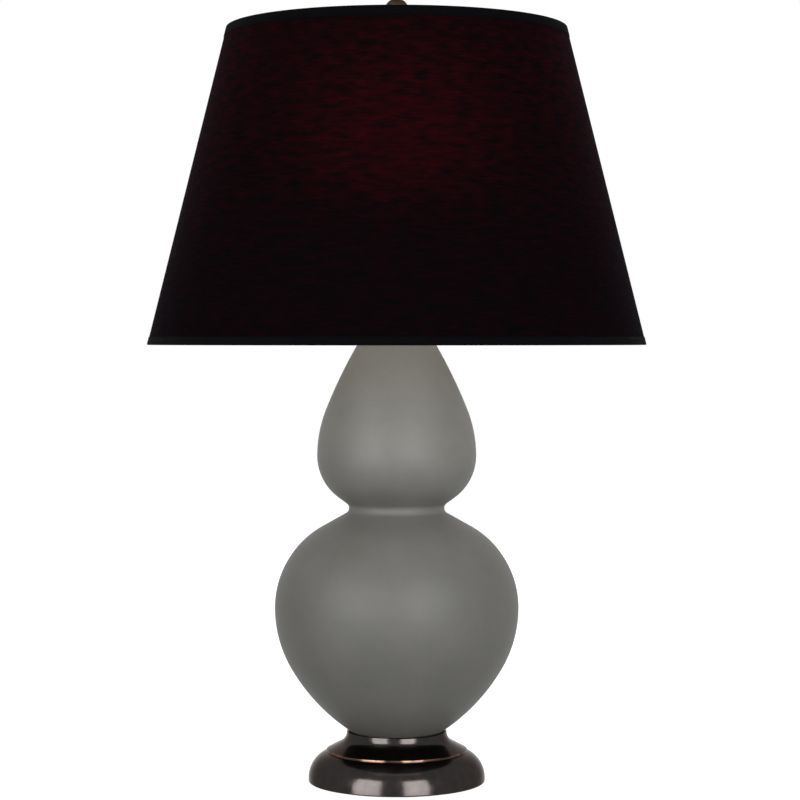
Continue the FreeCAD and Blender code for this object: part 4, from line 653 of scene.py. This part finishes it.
# %% Cover
COVER_ROWS = 24
cover = spun("cloth_cover", [
    (BOTTOM_RADIUS + (TOP_RADIUS - BOTTOM_RADIUS) * row / COVER_ROWS,
     BOTTOM + (TOP - BOTTOM) * row / COVER_ROWS)
    for row in range(COVER_ROWS + 1)
])
cover.data.materials.append(FINISHES["shade_fabric"])
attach(cover, "shade")
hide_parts("shade_cover")

# %% [markdown]
# ## The two tapes
# A tape is cut on the straight, folded over the edge of the shade and glued outside and in. Its
# outline is a narrow hairpin: up the outside, round the edge, down the inside. The fold is what the
# eye notices, so it is round and stands a little proud of the edge.

# %% Tapes
TAPE = 0.5 * MM
SHADE_WALL = 2.0 * MM  # from the outside of the cover to the inside of the lining
FOLD_STEPS = 6
FOLD_RISE = 1.6 * TAPE  # how far the fold stands past the edge


def slope_radius(height):
    """Radius of the cover's outside at a height."""
    return BOTTOM_RADIUS + (TOP_RADIUS - BOTTOM_RADIUS) * (height - BOTTOM) / (TOP - BOTTOM)


def folded_tape(name, node, edge, inside_drop, direction):
    """A tape over the edge at a height. direction is 1 at the top and -1 at the bottom."""
    low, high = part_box(node)
    band = high.z if direction < 0 else low.z
    outside = [(slope_radius(band) + TAPE, band), (slope_radius(edge) + TAPE, edge)]
    middle = slope_radius(edge) - SHADE_WALL / 2
    half = SHADE_WALL / 2 + TAPE
    fold = [(middle + half * math.cos(a), edge + direction * FOLD_RISE * math.sin(a))
            for a in (math.pi * step / FOLD_STEPS for step in range(1, FOLD_STEPS))]
    end = edge - direction * inside_drop
    inside = [(middle - half, edge), (slope_radius(end) - SHADE_WALL - TAPE, end)]
    tape = spun(name, outside + fold + inside)
    tape.data.materials.append(FINISHES["hem_tape"])
    thick = tape.modifiers.new("tape thickness", "SOLIDIFY")
    thick.thickness = TAPE
    thick.offset = -1.0
    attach(tape, "shade")
    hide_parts(node)
    return tape


top_tape = folded_tape("top_tape", "top_hem", TOP, 3.0 * MM, 1)
bottom_tape = folded_tape("bottom_tape", "bottom_hem", BOTTOM, 5.0 * MM, -1)

# %% [markdown]
# ## The seam
# A cone of cloth has to be joined somewhere, and makers turn the join to the back: a lap about
# 8 mm wide, glued, that stands a thread's thickness proud.

# %% Back seam
SEAM_WIDTH = 8.0 * MM
SEAM_GAP = 0.25 * MM  # from the cover to the middle of the lap
SEAM_THICKNESS = 0.35 * MM
seam_mesh = bmesh.new()
lower = [seam_mesh.verts.new((side * SEAM_WIDTH / 2, slope_radius(BOTTOM) + SEAM_GAP, BOTTOM))
         for side in (-1, 1)]
grown = bmesh.ops.extrude_edge_only(seam_mesh, edges=[seam_mesh.edges.new(lower)])
upper = [v for v in grown["geom"] if isinstance(v, bmesh.types.BMVert)]
bmesh.ops.translate(seam_mesh, verts=upper,
                    vec=(0, slope_radius(TOP) - slope_radius(BOTTOM), TOP - BOTTOM))
bmesh.ops.subdivide_edges(seam_mesh, edges=seam_mesh.edges, cuts=3, use_grid_fill=True)
bmesh.ops.recalc_face_normals(seam_mesh, faces=seam_mesh.faces)
seam_cloth = seam_mesh.loops.layers.uv.new("cloth")
for face in seam_mesh.faces:
    for corner in face.loops:
        climbed = (corner.vert.co.z - BOTTOM) * SLANT / (TOP - BOTTOM)
        corner[seam_cloth].uv = (corner.vert.co.x, climbed)
seam = mesh_object("back_seam", seam_mesh)
seam.data.materials.append(FINISHES["shade_fabric"])
seam_lap = seam.modifiers.new("lap", "SOLIDIFY")
seam_lap.thickness = SEAM_THICKNESS
seam_lap.offset = 0.0
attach(seam, "shade")
print("the seam is", round(SEAM_WIDTH / MM), "mm wide, at y", round(seam.data.vertices[0].co.y, 3))

# %% [markdown]
# The cover's cloth is cut flat as a sector of a ring: its radii follow from the cone's slope, and
# its angle from the round.

# %% [markdown]
# ## The felt
# The felt's cut edge is soft and slightly rounded, where a solid's is sharp. A spun outline with
# five points round the edge gives that.

# %% Felt disc
felt_low, felt_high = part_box("felt_pad")
FELT_RADIUS = felt_high.x
FELT_THICKNESS = felt_high.z - felt_low.z
felt = spun("felt_disc", [
    (0.0, felt_low.z),
    (FELT_RADIUS - 0.7 * MM, felt_low.z),
    (FELT_RADIUS - 0.2 * MM, felt_low.z + 0.25 * FELT_THICKNESS),
    (FELT_RADIUS, felt_low.z + 0.5 * FELT_THICKNESS),
    (FELT_RADIUS - 0.2 * MM, felt_low.z + 0.8 * FELT_THICKNESS),
    (FELT_RADIUS - 0.5 * MM, felt_high.z),
    (0.0, felt_high.z),
], steps=128)
felt.data.materials.append(FINISHES["felt"])
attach(felt, "base")
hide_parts("felt_pad")

# %% [markdown]
# ## Floor and surroundings
# The lamp stands on a plain pale floor in a white room. The floor and the world show their full
# white only to rays that come from the camera, a reflection or glass, so it adds no light to the
# lamp, and the floor's own colour still answers to light and keeps the shadow. Reflections leave
# the floor out: polished metal mirrors the white room and the upright boxes down to its foot.

# %% Floor
FLOOR_LIFT = 0.93  # how far towards white the floor is lifted where it is seen
FLOOR_HALF = 6.0  # m


def seen_directly(tree):
    """1 for rays that show the surroundings: from the camera, off gloss or through glass."""
    path = add(tree, "LightPath").outputs
    seen = add(tree, "Math", links={0: path["Is Camera Ray"], 1: path["Is Glossy Ray"]},
               operation="MAXIMUM")
    return add(tree, "Math", links={0: seen, 1: path["Is Transmission Ray"]}, operation="MAXIMUM")


floor_mesh = bmesh.new()
bmesh.ops.create_grid(floor_mesh, x_segments=1, y_segments=1, size=FLOOR_HALF)
floor = mesh_object("studio_floor", floor_mesh)
floor.visible_glossy = False

paper, paper_tree = new_material("white_paper")
matt = add(paper_tree, "BsdfDiffuse", {"Color": linear("#A9A9A8")})
lift = add(paper_tree, "Math", {1: FLOOR_LIFT}, {0: seen_directly(paper_tree)}, operation="MULTIPLY")
white = add(paper_tree, "Emission", links={"Strength": lift})
both_whites = add(paper_tree, "AddShader", links={0: matt, 1: white})
add(paper_tree, "OutputMaterial", links={"Surface": both_whites})
floor.data.materials.append(paper)
print("floor", 2 * FLOOR_HALF, "m across, lifted", FLOOR_LIFT, "of the way to white")

# %% [markdown]
# The room is the world itself. It lights the lamp weakly from all sides, and it is plain white
# where it is seen.

# %% White room
AMBIENT = 0.3  # the room's own light
world = bpy.data.worlds.new("white_room")
bpy.context.scene.world = world
world.use_nodes = True
air = world.node_tree
air.nodes.clear()
level = add(air, "MapRange", {"To Min": AMBIENT, "To Max": 1.0}, {"Value": seen_directly(air)})
room = add(air, "Background", {"Color": (1, 1, 1, 1)}, {"Strength": level})
add(air, "OutputWorld", links={"Surface": room})
print("room light", AMBIENT, "of what is seen")

# %% [markdown]
# ## Light
# Three soft boxes: a large one overhead, and two upright ones in front, one well to the left and
# one just to the right of the camera. The polished collar shows both upright boxes as bright
# stripes, and the stripes' places tell where the boxes stood: a cylinder mirrors what lies at
# twice the angle of its own slope. Each upright box is two lamps, a plain one that lights matt
# surfaces and a brighter one, 5 cm nearer, that only gloss shows. Two lamps in one plane would hide
# each other. A weak fill lights the back.

# %% Soft boxes
BOX_DISTANCE = 2.45  # m, all distances and sizes of the boxes are in metres
BOX_MIDDLE = 0.85
BOX_HEIGHT = 1.7
STRIPE_DISTANCE = 2.4
STRIPE_MIDDLE = 0.55
STRIPE_HEIGHT = 2.3  # tall enough for the stripes to run down to the foot's lower edge
STRIPE_RADIANCE = 13.0  # W/m2/sr, the same for both, so the stripes are equally bright


def soft_box(name, place, target, width, height, power, in_gloss=True, in_matt=True):
    """A rectangular lamp that faces a point. It may show only in gloss or only light matt pieces."""
    lamp = bpy.data.lights.new(name, "AREA")
    lamp.shape = "RECTANGLE"
    lamp.size, lamp.size_y = width, height
    lamp.energy = power
    box = new_object(name, lamp)
    box.location = place
    box.visible_glossy = in_gloss
    box.visible_diffuse = in_matt
    box.visible_camera = False
    box.rotation_euler = (Vector(target) - Vector(place)).to_track_quat("-Z", "Y").to_euler()


def in_front(degrees, distance, height):
    """A place round the lamp: 0 degrees is the camera's side, and positive is to the right."""
    turn = math.radians(degrees)
    return (distance * math.sin(turn), -distance * math.cos(turn), height)


soft_box("overhead_box", (0.0, -0.5, 2.6), (0, 0, 0.3), 2.2, 1.8, 10)
for side, degrees, width, power in (("left", -39, 1.56, 12), ("right", 26, 1.38, 23)):
    soft_box(side + "_box", in_front(degrees, BOX_DISTANCE, BOX_MIDDLE), (0, 0, BOX_MIDDLE),
             width, BOX_HEIGHT, power, in_gloss=False)
    soft_box(side + "_stripe", in_front(degrees, STRIPE_DISTANCE, STRIPE_MIDDLE),
             (0, 0, STRIPE_MIDDLE), width, STRIPE_HEIGHT,
             STRIPE_RADIANCE * math.pi * width * STRIPE_HEIGHT, in_matt=False)
soft_box("back_fill", in_front(180, BOX_DISTANCE, BOX_MIDDLE), (0, 0, 0.5), 1.8, BOX_HEIGHT, 18,
         in_gloss=False)
print("soft boxes, stripes and a fill:", len(bpy.data.lights), "lamps")

# %% [markdown]
# ## The bulb's light
# The bulb is lit, which shows as a red glow in the cloth. Its light stands at the top of the globe,
# about half way up the shade. The globe itself is left out of that light, which would burn it out.

# %% Bulb's light
_, globe_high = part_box("bulb_glass")
bulb_light = bpy.data.lights.new("bulb_light", "POINT")
bulb_light.energy = 0.5
bulb_light.color = linear("#FFF4E6")[:3]
bulb_light.shadow_soft_size = 0.03  # m, the globe's own radius
bulb = new_object("bulb_light", bulb_light)
bulb.location = (0, 0, globe_high.z)
unlit = bpy.data.collections.new("not_lit_by_the_bulb")
unlit.objects.link(NODES["bulb_glass"])
bulb.light_linking.receiver_collection = unlit
unlit.collection_objects[0].light_linking.link_state = "EXCLUDE"
print("the bulb's light is", round(globe_high.z / MM), "mm up")

# %% [markdown]
# ## Camera
# The camera stands at table height, a little above the lamp's middle, and looks slightly down.
# Its place was worked out from the curves of the rims: the shade's bottom edge bows up and its top
# edge bows down, by amounts that only one distance and height explain.

# %% Camera
CAMERA_PLACE = (0.0032, -2.282, 0.4306)
LOOKS_DOWN = 1.4747  # degrees
lens = bpy.data.cameras.new("studio_camera")
lens.lens = 105.75
lens.sensor_width = 36.0
camera = new_object("studio_camera", lens)
camera.location = CAMERA_PLACE
camera.rotation_euler = (math.radians(90 - LOOKS_DOWN), 0, 0)
bpy.context.scene.camera = camera
bpy.context.scene.view_settings.view_transform = "Standard"
print("camera", round(-CAMERA_PLACE[1], 2), "m in front, lens", lens.lens, "mm")
